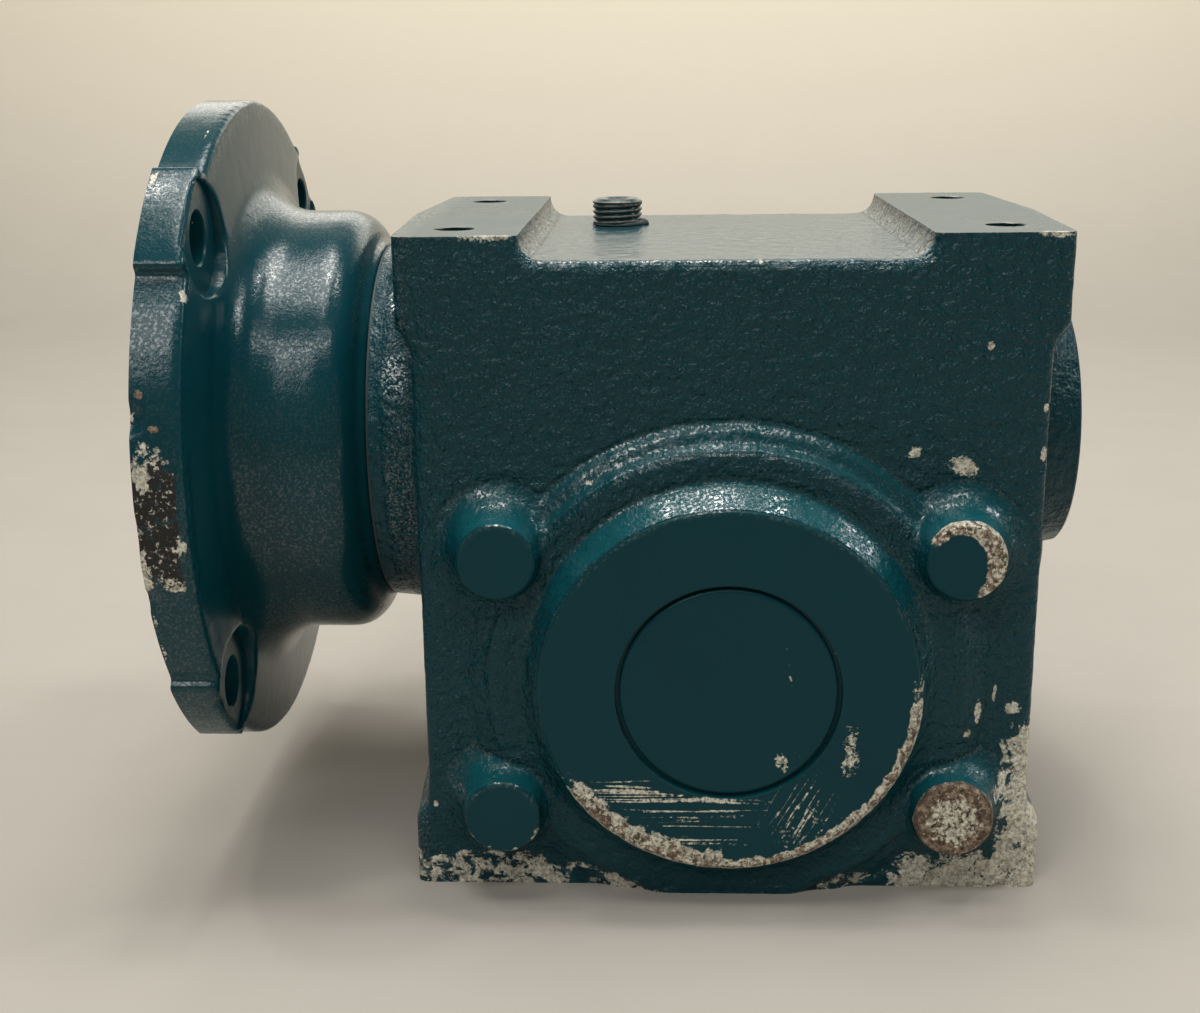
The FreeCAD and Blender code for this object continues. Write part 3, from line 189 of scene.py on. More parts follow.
def relief(start, height):
    """A normal from a height in millimetres."""
    return start.node("ShaderNodeBump", None, {"Height": height, "Strength": 1.0, "Distance": MM})


print("signals ready")

# %% [markdown]
# ## Floor and light
# The object stands on a plain pale sheet that curves up behind it, as in a photographer's studio.
# In the photograph the light comes from above and the pale wall shows in the paint wherever the
# surface is seen at a flat angle, so the sheet rises behind the object and a broad lamp hangs over
# it. Weaker lamps in front keep the shaded face readable, and the room round the sheet has pale walls
# under a dim ceiling, so that the other sides are seen against something pale too.

# %% Pale sheet


def quads(rows, columns, closed=False):
    """Faces over a grid of points given row by row; a closed grid joins the ends of each row."""
    steps = [(i, (i + 1) % columns) for i in range(columns if closed else columns - 1)]
    return [(low + i, low + j, low + columns + j, low + columns + i)
            for low in range(0, (rows - 1) * columns, columns) for i, j in steps]


def pale_sheet():
    floor_end, bend, top, half, steps = 0.75, 0.35, 1.9, 1.5, 12
    rows = [(-1.1, 0.0), (-0.6, 0.0), (floor_end, 0.0)]
    for step in range(1, steps + 1):
        angle = math.radians(90 * step / steps)
        rows.append((floor_end + bend * math.sin(angle), bend - bend * math.cos(angle)))
    rows.append((floor_end + bend, top))
    points = [(side, y, z) for y, z in rows for side in (-half, half)]
    mesh = bpy.data.meshes.new("pale_sheet")
    mesh.from_pydata(points, [], quads(len(rows), 2))
    mesh.shade_smooth()
    sheet = placed("pale_sheet", mesh)
    made, start, place = finish("pale paper")
    fibre = place.noise(0.02, 4.0)
    rise = (0.004 * place.node("ShaderNodeSeparateXYZ", None, {"Vector": place}, out=2)).clamped()
    floor = fibre.mixed((0.42, 0.397, 0.36), (0.46, 0.437, 0.395))
    coated(start, Base_Color=rise.mixed(floor, (0.84, 0.78, 0.655)), Roughness=0.75 + 0.1 * fibre,
           Specular_IOR_Level=0.2)
    mesh.materials.append(made)
    return sheet


print("floor rows:", len(pale_sheet().data.polygons))

# %% Lamps
MIDDLE = (-0.02, 0.0, 0.08)
WARM, SOFT, WHITE = (1.0, 0.97, 0.92), (1.0, 0.98, 0.95), (1.0, 1.0, 1.0)
LAMPS = [  # name, place, aim, width and height, all in metres, then watts and colour
    ("overhead", (-0.10, 0.02, 1.15), MIDDLE, (0.75, 0.48), 7.8, WARM),
    ("ceiling", (-0.45, 0.04, 1.1), MIDDLE, (0.06, 0.06), 1.0, WARM),
    ("ceiling", (-0.05, 0.04, 1.1), MIDDLE, (0.06, 0.06), 1.0, WARM),
    ("ceiling", (0.36, 0.04, 1.1), MIDDLE, (0.06, 0.06), 1.0, WARM),
    ("front left", (-0.55, -0.95, 0.95), MIDDLE, (0.3, 0.5), 2.9, SOFT),
    ("front strip", (0.12, -0.72, 1.05), MIDDLE, (1.0, 0.14), 2.6, SOFT),
    ("right", (1.0, 0.05, 0.8), MIDDLE, (0.2, 0.4), 3.0, WHITE),
    ("behind", (-0.05, 1.0, 0.62), (-0.02, 0.0, 0.16), (1.3, 0.42), 3.0, (1.0, 0.96, 0.89)),
    ("on the wall", (-0.15, 0.25, 1.5), (-0.15, 1.1, 0.3), (2.0, 0.3), 5.2, (1.0, 0.97, 0.90)),
]
CEILING_GLOW, WALL_GLOW = (0.060, 0.058, 0.053), (0.23, 0.215, 0.185)


def soft_lamp(name, place, aim, size, watts, colour):
    lamp = bpy.data.lights.new(name, "AREA")
    lamp.shape = "RECTANGLE"
    lamp.size, lamp.size_y = size
    lamp.energy, lamp.color = watts, colour
    holder = placed(name, lamp)
    holder.location = place
    holder.rotation_euler = (Vector(aim) - Vector(place)).to_track_quat("-Z", "Y").to_euler()


def pale_room():
    """Pale walls under a dim ceiling, all round the sheet."""
    room = bpy.data.worlds.new("room")
    room.use_nodes = True
    room.node_tree.nodes.clear()
    air = Signal(room.node_tree)
    direction = air.node("ShaderNodeTexCoord")
    rise = air.node("ShaderNodeSeparateXYZ", None, {"Vector": direction}, out=2)
    walls = (1.0 - 5.0 * (rise - 0.30)).clamped()
    light = air.node("ShaderNodeBackground", None, {"Color": walls.mixed(CEILING_GLOW, WALL_GLOW)})
    air.node("ShaderNodeOutputWorld", None, {"Surface": light})
    return room


for lamp in LAMPS:
    soft_lamp(*lamp)
bpy.context.scene.world = pale_room()
bpy.context.scene.view_settings.view_transform = "Standard"
print("lamps:", [lamp.name for lamp in bpy.data.lights])

# %% [markdown]
# ## Paint on iron
# The whole gearbox was sprayed after assembly with a dark teal enamel. On cast skin the enamel keeps
# the grain of the sand, so highlights break into sparks; on slopes a sparkling clear coat lies on it,
# and on the upward slopes of the front wall a lighter teal is painted in as painted light from above;
# on faced surfaces it lies smooth. Where something rubbed, it has gone down to a beige grey primer and
# iron, and some of that has browned or holds dark grime.
# Where wear happens is stored on the mesh points, and a noise then tears its edges, because a stored
# value alone would give soft airbrushed spots.

# %% Enamel, chips and scratches
# the third teal, the lightest, is painted light: it is mixed in on upward slopes of the front wall to stand for
# the light falling on them from above
TEAL_DEEP, TEAL, TEAL_PAINTED_LIGHT = (0.0014, 0.038, 0.051), (0.0026, 0.051, 0.067), (0.008, 0.125, 0.150)
BARE_LIGHT, BARE_GREY, PIT = (0.86, 0.84, 0.71), (0.40, 0.385, 0.325), (0.050, 0.050, 0.046)
TAN, UMBER, GRIME = (0.44, 0.34, 0.25), (0.125, 0.088, 0.064), (0.026, 0.026, 0.025)


def torn(layer, tears):
    """1 where a stored share of wear is reached by a noise, so a share of 0.5 bares half of the place."""
    return ((1.67 * tears + layer - 1.333) * 12.0).clamped()


def hairlines(bands):
    """1 along the lines where a banded noise passes its middle, 0 away from them."""
    aside = bands - 0.5
    return (1.0 - 9.0 * aside.larger(-1.0 * aside)).clamped()


def above(noise, level, steepness):
    """0 under a level of a noise, rising to 1 over it."""
    return ((noise - level) * steepness).clamped()


def wear_of(start, place):
    """Where the enamel is gone: large bare places, small chips, level scratches and leaning scores."""
    breaks = place.noise(0.9, 4.0, 0.7)
    islands = 0.82 * place.noise(0.21, 7.0, 0.62, 0.5) + 0.18 * place.noise(1.4, 3.0, 0.6)
    flakes = 0.6 * place.noise(0.5, 5.0, 0.7, 0.6) + 0.4 * place.noise(1.5, 3.0, 0.6)
    chips = torn(start.layer("bare"), islands).larger(torn(start.layer("chipped"), flakes))
    rows = place.scaled((0.016, 0.1, 0.42)).noise(1.0, 2.0, 0.6)
    scratches = torn(start.layer("scratched"), 0.36 * hairlines(rows) + 0.5 * breaks)
    leaning = place.node("ShaderNodeMapping", None, {"Vector": place, "Rotation": (0.0, 1.05, 0.0)})
    across = leaning.scaled((0.03, 0.1, 0.55)).noise(1.0, 2.0, 0.6)
    scores = torn(start.layer("scored"), 0.34 * hairlines(across) + 0.52 * breaks)
    return chips.larger(scratches).larger(scores)


def enamel(name, grain, gloss, glint):
    """Teal enamel over iron; grain is the height of the casting texture under it in millimetres."""
    made, start, place = finish(name)
    worn = wear_of(start, place)
    clouds = place.noise(0.035, 3.0)
    # the stored share mixes in the lightest teal, a painted light from above on upward slopes
    paint = start.layer("thick").mixed(clouds.mixed(TEAL_DEEP, TEAL), TEAL_PAINTED_LIGHT)
    fine = place.noise(0.9, 6.0, 0.75)
    iron = above(fine, 0.41, 6.0).mixed(BARE_GREY, BARE_LIGHT)
    brown = above(place.noise(0.6, 6.0, 0.7), 0.45, 5.0).mixed(UMBER, TAN)
    spread = place.noise(0.8, 5.0, 0.7)
    iron = torn(start.layer("browned"), spread).mixed(iron, brown)
    iron = torn(start.layer("grimy"), spread).mixed(iron, GRIME)
    iron = above(place.noise(1.1, 4.0, 0.65), 0.60, 12.0).mixed(iron, PIT)
    sand = place.noise(0.36, 3.0, 0.55) + 0.22 * place.noise(1.25, 2.0, 0.55)
    crumbs = (0.011 + (0.035 * grain) * start.layer("grainy")) * place.noise(1.7, 2.0)
    height = (grain * start.layer("coarse")) * sand + crumbs - 0.06 * worn + (0.22 * worn) * fine
    sparks = above(place.noise(1.5, 3.0, 0.6), 0.51, 10.0)
    coated(start, Base_Color=worn.mixed(paint, iron), Roughness=gloss + 0.08 * clouds + 0.32 * worn,
           Metallic=0.25 * worn, Normal=relief(start, height), Specular_IOR_Level=glint,
           Coat_Weight=start.layer("wet") * sparks * (1.0 - worn), Coat_Roughness=0.19, Coat_IOR=1.9)
    return made


def bored_iron():
    """Grey iron as a boring bar leaves it."""
    made, start, place = finish("bored iron")
    marks = place.noise(3.0, 2.0)
    colour = place.noise(0.2, 4.0).mixed((0.20, 0.195, 0.185), (0.31, 0.30, 0.285))
    coated(start, Base_Color=colour, Metallic=0.85, Roughness=0.42 + 0.15 * marks,
           Normal=relief(start, 0.012 * marks))
    return made


CAST, FACED, BORED = range(3)
IRON_FINISHES = [enamel("enamel on cast skin", 1.25, 0.16, 0.27),
                 enamel("enamel on faced iron", 0.03, 0.24, 0.16), bored_iron()]
print("finishes of the castings:", [made.name for made in IRON_FINISHES])

# %% [markdown]
# ## Turned and threaded shapes
# Bosses, bores, caps, plugs and screws are all turned, so they come from one thing: a stack of rings
# with the same number of points, skinned with quads and closed at both ends. A ring whose radius
# changes round the turn makes a thread or a knurl without any screw modifier.

# %% Stacks of rings
SPIN = {  # along the axis, then the two directions across it
    "X": ((1, 0, 0), (0, 1, 0), (0, 0, 1)),
    "Y": ((0, 1, 0), (0, 0, 1), (1, 0, 0)),
    "Z": ((0, 0, 1), (1, 0, 0), (0, 1, 0)),
}


def ring(axis, centre, along, radius, count):
    """Points of one ring in millimetres; radius is a number or one number per point."""
    ahead, across, upward = (np.array(way, float) for way in SPIN[axis])
    angle = np.linspace(0, 2 * np.pi, count, endpoint=False)[:, None]
    reach = np.broadcast_to(np.asarray(radius, float), (count,))[:, None]
    return np.array(centre, float) + ahead * along + reach * (np.cos(angle) * across + np.sin(angle) * upward)


def rings_of(axis, centre, profile, count):
    """A ring for each (along, radius) pair of a profile."""
    return [ring(axis, centre, along, np.maximum(radius, 0.02), count) for along, radius in profile]


def piece_of(name, points, faces, slot=CAST):
    """A piece from points in millimetres, with one finish on all its faces."""
    mesh = bpy.data.meshes.new(name)
    mesh.from_pydata((np.asarray(points) * MM).tolist(), [], faces)
    mesh.polygons.foreach_set("material_index", np.full(len(faces), slot))
    return placed(name, mesh)


def skinned(rings, slot=CAST, name="tool"):
    """A closed piece over a stack of rings."""
    count, levels = len(rings[0]), len(rings)
    ends = [tuple(range(count - 1, -1, -1)), tuple(range((levels - 1) * count, levels * count))]
    return piece_of(name, np.concatenate(rings), quads(levels, count, True) + ends, slot)


def turned(axis, centre, profile, count=96, slot=CAST, name="tool"):
    """A turned piece from (along, radius) pairs, given from its low end to its high end."""
    return skinned(rings_of(axis, centre, profile, count), slot, name)


def drilled(axis, places, profile, count=40, slot=CAST):
    """The same turned piece at each of several places."""
    return [turned(axis, place, profile, count, slot) for place in places]


def threaded(centre, low, high, crest, depth, pitch, fade=1.0, taper=0.0, count=72):
    """Rings of a thread between two heights; the thread fades out at both ends."""
    turn = np.arange(count) / count
    steps = int(round((high - low) / pitch * 8))
    rings = []
    for along in np.linspace(low, high, steps + 1):
        phase = (along / pitch - turn) % 1.0
        groove = depth * (1 - np.abs(2 * phase - 1) * 1.25).clip(0, 1)
        ends = min(1.0, (along - low) / (fade * pitch), (high - along) / (fade * pitch))
        rings.append(ring("Z", centre, along, crest + taper * (along - low) - groove * max(ends, 0.0), count))
    return rings


def box_between(low, high, slot=CAST):
    """A block used as stock or as a cutter."""
    flat = [(low[0], low[1]), (high[0], low[1]), (high[0], high[1]), (low[0], high[1])]
    return skinned([np.array([(x, y, z) for x, y in flat], float) for z in (low[2], high[2])], slot)


print("thread of a quarter inch plug has", len(threaded((0, 0, 0), 0, 7, 6.6, 0.9, 1.411)), "rings")

# %% [markdown]
# ## Cutting
# A machined face meets the cast skin in a crisp edge. The boolean modifier's manifold solver keeps
# that edge exact and fast even on a dense casting, as long as every shape is closed. The result
# becomes the piece's mesh at once, so no modifier is left on it.

# %% Cutters and joiners


@contextmanager
def opened(mesh, keep=True):
    """A mesh as an editable pool; what is done to it is kept at the end, unless it was only measured."""
    pool = bmesh.new()
    pool.from_mesh(mesh)
    yield pool
    if keep:
        pool.to_mesh(mesh)
    pool.free()


def settled(piece):
    """Makes the modifiers of a piece part of its mesh."""
    shape = piece.evaluated_get(bpy.context.evaluated_depsgraph_get())
    mesh = bpy.data.meshes.new_from_object(shape)
    piece.modifiers.clear()
    spent = piece.data
    piece.data = mesh
    bpy.data.meshes.remove(spent)
    return piece


def carved(piece, tool, operation="DIFFERENCE"):
    """Cuts a piece with a tool, or joins them; both know the finishes of iron, so cut faces keep theirs."""
    for shape in (piece, tool):
        if not shape.data.materials:
            for made in IRON_FINISHES:
                shape.data.materials.append(made)
    cut = piece.modifiers.new("cut", "BOOLEAN")
    cut.operation, cut.solver, cut.object = operation, "MANIFOLD", tool
    settled(piece)
    bpy.data.objects.remove(tool)
    return piece


def welded(name, pieces):
    """One piece that holds the faces of several."""
    mesh = bpy.data.meshes.new(name)
    with opened(mesh) as pool:
        for piece in pieces:
            pool.from_mesh(piece.data)
    for piece in pieces:
        bpy.data.objects.remove(piece)
    return placed(name, mesh)


def copied(node):
    """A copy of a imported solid's mesh, its split corners joined again so that it is closed."""
    mesh = solids[node].data.copy()
    mesh.materials.clear()
    with opened(mesh) as pool:
        bmesh.ops.remove_doubles(pool, verts=pool.verts, dist=1e-6)
    return placed("solid", mesh)


def litres(piece):
    with opened(piece.data, keep=False) as pool:
        return round(pool.calc_volume() * 1000, 4)


trial = copied("housing")
print("housing solid holds", litres(trial), "litres of iron")
bpy.data.objects.remove(trial)

# %% [markdown]
# ## From the solid to a casting
# A sand casting has no sharp edge except where a tool has been. So each casting is made the way the
# foundry makes it. First a raw piece: the solid's mesh with its bores plugged and its machined faces
# left a few millimetres proud, melted into one skin by a voxel remesh and softened, which rounds
# every corner and fills every inner corner with a fillet. Then the machining: faces, bores and holes
# are cut out of it with crisp tools. Bevels on the solid itself would need every edge picked by hand.

# %% Raw castings
VOXEL = 0.85 * MM
sand_lumps, sand_grains = [bpy.data.textures.new(name, "CLOUDS") for name in ("sand lumps", "sand grains")]
sand_lumps.noise_scale, sand_lumps.noise_depth = 5.0 * MM, 3
sand_grains.noise_scale, sand_grains.noise_depth = 1.9 * MM, 1


def roughened(piece, texture, height):
    """Lets a cloud texture push the skin of a piece in and out by a height in millimetres."""
    sand = piece.modifiers.new("sand", "DISPLACE")
    sand.texture, sand.texture_coords, sand.mid_level = texture, "LOCAL", 0.5
    sand.strength = height * MM


def raw_casting(name, node, stock, passes, lumps, grains):
    """The as-cast skin of a node; stock is what fills its bores and stands proud of its faces."""
    piece = welded(name, [copied(node)] + stock)
    melt = piece.modifiers.new("melt", "REMESH")
    melt.mode, melt.voxel_size = "VOXEL", VOXEL
    soften = piece.modifiers.new("soften", "SMOOTH")
    soften.factor, soften.iterations = 0.5, passes
    roughened(piece, sand_lumps, lumps)
    roughened(piece, sand_grains, grains)
    return settled(piece)


def drawn_out(node, inner, face, end):
    """The slice of a node under a flat face, drawn out along Z so that the raw face stands proud."""
    piece, far = copied(node), 300
    low, high = min(inner, face) - (face < inner), max(inner, face) + (face > inner)
    carved(piece, box_between((-far, -far, low), (far, far, high)), "INTERSECT")
    stretch = Matrix.Diagonal((1, 1, (end - inner) / (face - inner), 1))
    there, back = (Matrix.Translation((0, 0, way * inner * MM)) for way in (1, -1))
    piece.data.transform(there @ stretch @ back)
    piece.data.materials.clear()
    return piece


def machining(node, fillers):
    """What boring takes out of a casting: the fillers less the finished solid."""
    tool = fillers[0]
    for filler in fillers[1:]:
        carved(tool, filler, "UNION")
    carved(tool, copied(node))
    tool.data.polygons.foreach_set("material_index", np.full(len(tool.data.polygons), BORED))
    return tool


print("voxel of the castings in mm:", round(VOXEL / MM, 2))

# %% Housing, raw
OUTPUT_Z, WORM_Z = 54.0, 104.0
WORM_AXIS, OUTPUT_AXIS = (0, 0, WORM_Z), (0, 0, OUTPUT_Z)
CORNERS = [(-1, -1), (1, -1), (-1, 1), (1, 1)]
SMALL_BOSSES = [(52.7 * side, 0, OUTPUT_Z + 31.4 * up) for side, up in CORNERS]
BOSS_FOOT = [(-70, 8.06), (-66.5, 8.9), (-61.5, 10.2), (-59.0, 11.6), (-57.3, 13.6), (-56.2, 16.2),
             (-55, 19.5), (-45, 19.5)]
TOP, BACK_FACE, NECK_FACE, END_FACE, BOSS_FACE, SMALL_BOSS_FACE = 157, 60.5, -84, 85, -67, -66.5


def housing_stock():
    stock = [
        turned("X", WORM_AXIS, [(-87, 45.5), (-50, 45.0)]),
        turned("X", WORM_AXIS, [(50, 28), (60, 31.5), (88, 31.5)]),
        turned("Y", OUTPUT_AXIS, [(-70, 41.48), (-60.5, 48.2), (-40, 48.2)]),
        turned("Y", OUTPUT_AXIS, [(40, 50), (59, 56), (63.5, 56)]),
    ]
    for place in SMALL_BOSSES:
        stock += [turned("Y", place, BOSS_FOOT), turned("Y", place, [(44, 8), (63.5, 8.9)])]
    stock.append(box_between((-58, -44, 3), (58, 47, 149)))
    return stock + [drawn_out("housing", 0.6, 0.0, -3.0), drawn_out("housing", TOP - 0.6, TOP, TOP + 3.0)]


housing = raw_casting("housing_casting", "housing", housing_stock(), 18, 0.30, 0.12)
print("raw housing:", len(housing.data.polygons), "faces,", litres(housing), "litres")

# %% Cutting tools of the machine shop
SKIM = 0.02


def facing(axis, centre, face, out, radius, chamfer):
    """A tool that leaves a flat round face with a small chamfer; the face is a fine web of rings."""
    way = 1 if out > face else -1
    deep = face - way * chamfer
    profile = [(out, radius + 6), (deep, radius + 6), (deep, radius + chamfer), (face, radius)]
    profile += [(face, reach) for reach in np.arange(radius - 1.0, 0.5, -1.0)]
    return turned(axis, centre, profile if way < 0 else profile[::-1], 180, FACED)


def tap(centre, mouth, bottom, crest, depth, pitch):
    """A tap with its countersink, to cut a threaded hole along Z."""
    way, count = (1 if mouth > bottom else -1), 48
    rings = threaded(centre, min(mouth, bottom), max(mouth, bottom), crest, depth, pitch, 0.4, count=count)
    tip = [(bottom - way * 1.8, 0.1), (bottom - way * 0.01, crest - depth)]
    sink = [(mouth + way * 0.01, crest + 0.45), (mouth + way * 3.0, crest + 3.4)]
    tip, sink = (rings_of("Z", centre, end, count) for end in (tip, sink))
    return skinned(tip + rings + sink if way > 0 else sink[::-1] + rings + tip[::-1], BORED)


def milled_flat(face, out):
    """A tool for a flat milled face across Z, with a web of points on it so that wear can vary inside."""
    web = 2.5
    across, back = np.arange(-90, 95, web), np.arange(-75, 76, web)
    wide, deep = len(across), len(back)
    points = [(x, y, face) for y in back for x in across]
    points += [(across[i], back[j], out) for i, j in ((0, 0), (-1, 0), (-1, -1), (0, -1))]
    faces = quads(deep, wide)
    rims = [list(range(wide)), [j * wide + wide - 1 for j in range(deep)],
            [(deep - 1) * wide + i for i in range(wide)][::-1], [j * wide for j in range(deep)][::-1]]
    corner = wide * deep
    faces += [tuple(rim[::-1]) + (corner + k, corner + (k + 1) % 4) for k, rim in enumerate(rims)]
    faces.append((corner + 3, corner + 2, corner + 1, corner))
    tool = piece_of("milled_flat", points, faces, FACED)
    with opened(tool.data) as pool:
        bmesh.ops.recalc_face_normals(pool, faces=pool.faces)
    return tool


print("left on machined faces in mm:", SKIM)

# %% Housing, machined
PLUG_X, PLUG_Y, PLUG_HOLE_R = -27.2, 27.5, 6.7
PAD_HOLES = [(62.8 * side, 38.7 * back, 0) for side, back in CORNERS]
BASE_HOLES = [(63.5 * side, 38.1 * back, 0) for side, back in CORNERS]
PAD_THREAD = (4.7625, 0.82, 1.5875)
ADAPTER_SCREWS = [(0, side * 27.047, WORM_Z + up * 27.047) for side, up in CORNERS]


def housing_bores():
    fillers = [
        box_between((-56, -42, 7), (56, 45, 144)),
        turned("X", WORM_AXIS, [(-90, 33), (-46, 33)]),
        turned("X", WORM_AXIS, [(46, 25.5), (91, 25.5)]),
        turned("Y", OUTPUT_AXIS, [(-73, 28.5), (-32, 28.5)]),
        turned("Y", OUTPUT_AXIS, [(34, 46.5), (66, 46.5)]),
    ]
    fillers += drilled("Y", SMALL_BOSSES, [(43, 6), (66, 6)], 32)
    fillers += drilled("X", ADAPTER_SCREWS, [(-90, 5.2), (-60, 5.2)], 32)
    return machining("housing", fillers)


def machined_housing(piece):
    plug_place = (PLUG_X, PLUG_Y, 0)
    tools = [
        milled_flat(TOP, 175),
        milled_flat(0, -15),
        box_between((-100, -90, 20), (NECK_FACE + SKIM, 90, 175), FACED),
        box_between((-120, BACK_FACE - SKIM, -15), (120, 75, 140), FACED),
        facing("X", WORM_AXIS, END_FACE - SKIM, 95, 31.0, 0.5),
        facing("Y", OUTPUT_AXIS, BOSS_FACE + SKIM, -80, 43.2, 0.4),
        turned("Y", OUTPUT_AXIS, [(-80, 26.05), (-64.95, 26.05)], 144, FACED),
        housing_bores(),
        turned("Z", plug_place, [(140, PLUG_HOLE_R), (165, PLUG_HOLE_R)], 64, BORED),
        turned("Z", plug_place, [(-5, PLUG_HOLE_R), (11, PLUG_HOLE_R)], 64, BORED),
    ]
    tools += [facing("Y", place, SMALL_BOSS_FACE, -80, 8.5, 0.4) for place in SMALL_BOSSES]
    tools += [tap(place, TOP, TOP - 20, *PAD_THREAD) for place in PAD_HOLES]
    tools += [tap(place, 0, 20, *PAD_THREAD) for place in BASE_HOLES]
    for tool in tools[1:]:
        carved(tools[0], tool, "UNION")
    return carved(piece, tools[0])


machined_housing(housing)
print("housing:", len(housing.data.polygons), "faces,", litres(housing), "litres")

# %% [markdown]
# ## Wear of the housing
# The photograph shows where this one was knocked about: the lower right corner and the bottom edge are
# nearly bare, the lower rim of the boss has a tan crescent with long scratches above it, the small
# boss at the upper right has a worn ring and the one below it is bare and brown. Each place is a soft
# patch in millimetres on the part, so it stays on the iron from any side.

# %% Patches on the points of a mesh
# one layer, the last but one, holds painted light: the share of a lighter teal on upward slopes
LAYERS = ("bare", "chipped", "scratched", "scored", "browned", "grimy", "coarse", "grainy", "thick", "wet")


def each(items, field, width, kind=np.float32):
    """One value or vector of each point or face of a mesh."""
    values = np.empty(len(items) * width, kind)
    items.foreach_get(field, values)
    return values.reshape(-1, width)


def points_of(piece):
    return each(piece.data.vertices, "co", 3) / MM


def upward(piece):
    """How far the skin at each point looks up: 1 for a floor, 0 for a wall."""
    return each(piece.data.vertices, "normal", 3)[:, 2]


def store(piece, **layers):
    """Keeps each layer as one value per point, and 0 for those not given."""
    for name in LAYERS:
        layer = piece.data.attributes.new(name, "FLOAT", "POINT")
        values = np.zeros(len(piece.data.vertices)) + layers.get(name, 0.0)
        layer.data.foreach_set("value", np.maximum(values, 0).astype(np.float32))


def most(*layers):
    """The largest of several layers at each point."""
    return np.maximum.reduce(layers)


def fade(values, none, full):
    """0 at none, 1 at full, smooth between; either may be the larger."""
    share = np.clip((values - none) / (full - none), 0, 1)
    return share * share * (3 - 2 * share)


def patch(places, centre, radii, tilt=0.0, soft=0.2):
    """1 in the middle of an ellipse seen from the front, 0 outside it; the third radius is its depth."""
    x, y, z = (places - np.array(centre)).T
    c, s = math.cos(math.radians(tilt)), math.sin(math.radians(tilt))
    wide, high = (c * x + s * z) / radii[0], (c * z - s * x) / radii[1]
    return fade(np.sqrt(wide ** 2 + high ** 2 + (y / radii[2]) ** 2), 1.6, soft)


def patches(places, rows):
    """The largest of several patches, each row being a share and what patch takes."""
    return most(*(share * patch(places, *row) for share, *row in rows))


def corners_of(piece, angle=38):
    """1 on points of convex edges sharper than an angle, and less on their neighbours."""
    with opened(piece.data, keep=False) as pool:
        worn = np.zeros(len(pool.verts))
        for edge in pool.edges:
            if len(edge.link_faces) == 2 and edge.calc_face_angle_signed(0) > math.radians(angle):
                for point in edge.verts:
                    worn[point.index] = 1.0
        for level in (0.6, 0.35):
            spread = worn.copy()
            for point in pool.verts:
                if worn[point.index] == 0 and any(worn[e.other_vert(point).index] for e in point.link_edges):
                    spread[point.index] = level
            worn = spread
    return worn


print("layers of wear on each point:", len(LAYERS))

# %% Housing, worn
CHIPS = [  # x, z, half width, half height, tilt, on the front wall
    (53.0, 104.7, 4.3, 2.6, -25), (41.9, 108.2, 2.2, 1.7, 40), (57.4, 132.2, 1.2, 1.4, 0),
    (70.5, 118.2, 1.0, 1.4, 0), (70.5, 107.5, 1.1, 2.2, 0), (58.5, 46.0, 1.0, 4.2, 0),
    (62.5, 50.5, 0.7, 2.8, -8), (56.0, 41.0, 1.3, 1.6, 0), (-60.0, 14.5, 1.2, 1.5, 0),
    (-31.4, 101.9, 1.2, 0.9, 30), (-70.0, 21.0, 0.8, 1.2, 0), (67.0, 46.5, 2.4, 2.0, 0),
]
LIP_Z = 151
WALL_MARKS = [(0.85, (x, -57, z), (half, high, 5), tilt) for x, z, half, high, tilt in CHIPS]
WALL_MARKS += [(0.62, (x, -55.5, LIP_Z), (1.1, 0.8, 4)) for x in (-16.5, 6.4, 44.0)]
WALL_MARKS += [(0.66, (-54, -56, TOP), (9, 1.6, 2.5)), (0.66, (71, -56, TOP), (6, 1.8, 3.5))]
BOSS_MARKS = [(0.38, (17, BOSS_FACE, 21), (12, 9, 4), 25), (0.56, (28.2, BOSS_FACE, 39.5), (3.0, 9.5, 4), -3)]
BOSS_SCRATCHES = [(0.61, (-22, BOSS_FACE, 29.5), (13, 4.2, 4)), (0.57, (-8, BOSS_FACE, 26), (20, 3.4, 4)),
                  (0.57, (-5, BOSS_FACE, 19.5), (16, 4.4, 4))]
BOSS_SCORES = [(0.47, (17, BOSS_FACE, 25), (11, 12, 4), 25)]


def chips_of_housing(piece, places, on_boss):
    """Small chips: on the wall and the pads, along the channel's lip, on edges and on the boss."""
    x, y, z = places.T
    lip = fade(np.abs(z - LIP_Z), 3.2, 1.0) * fade(y, -53, -55) * fade(np.abs(x + 1), 50, 46)
    edges = corners_of(piece) * (0.20 + 0.20 * fade(z, 60, 2))
    return most(0.22 * lip, edges, patches(places, WALL_MARKS), on_boss * patches(places, BOSS_MARKS))


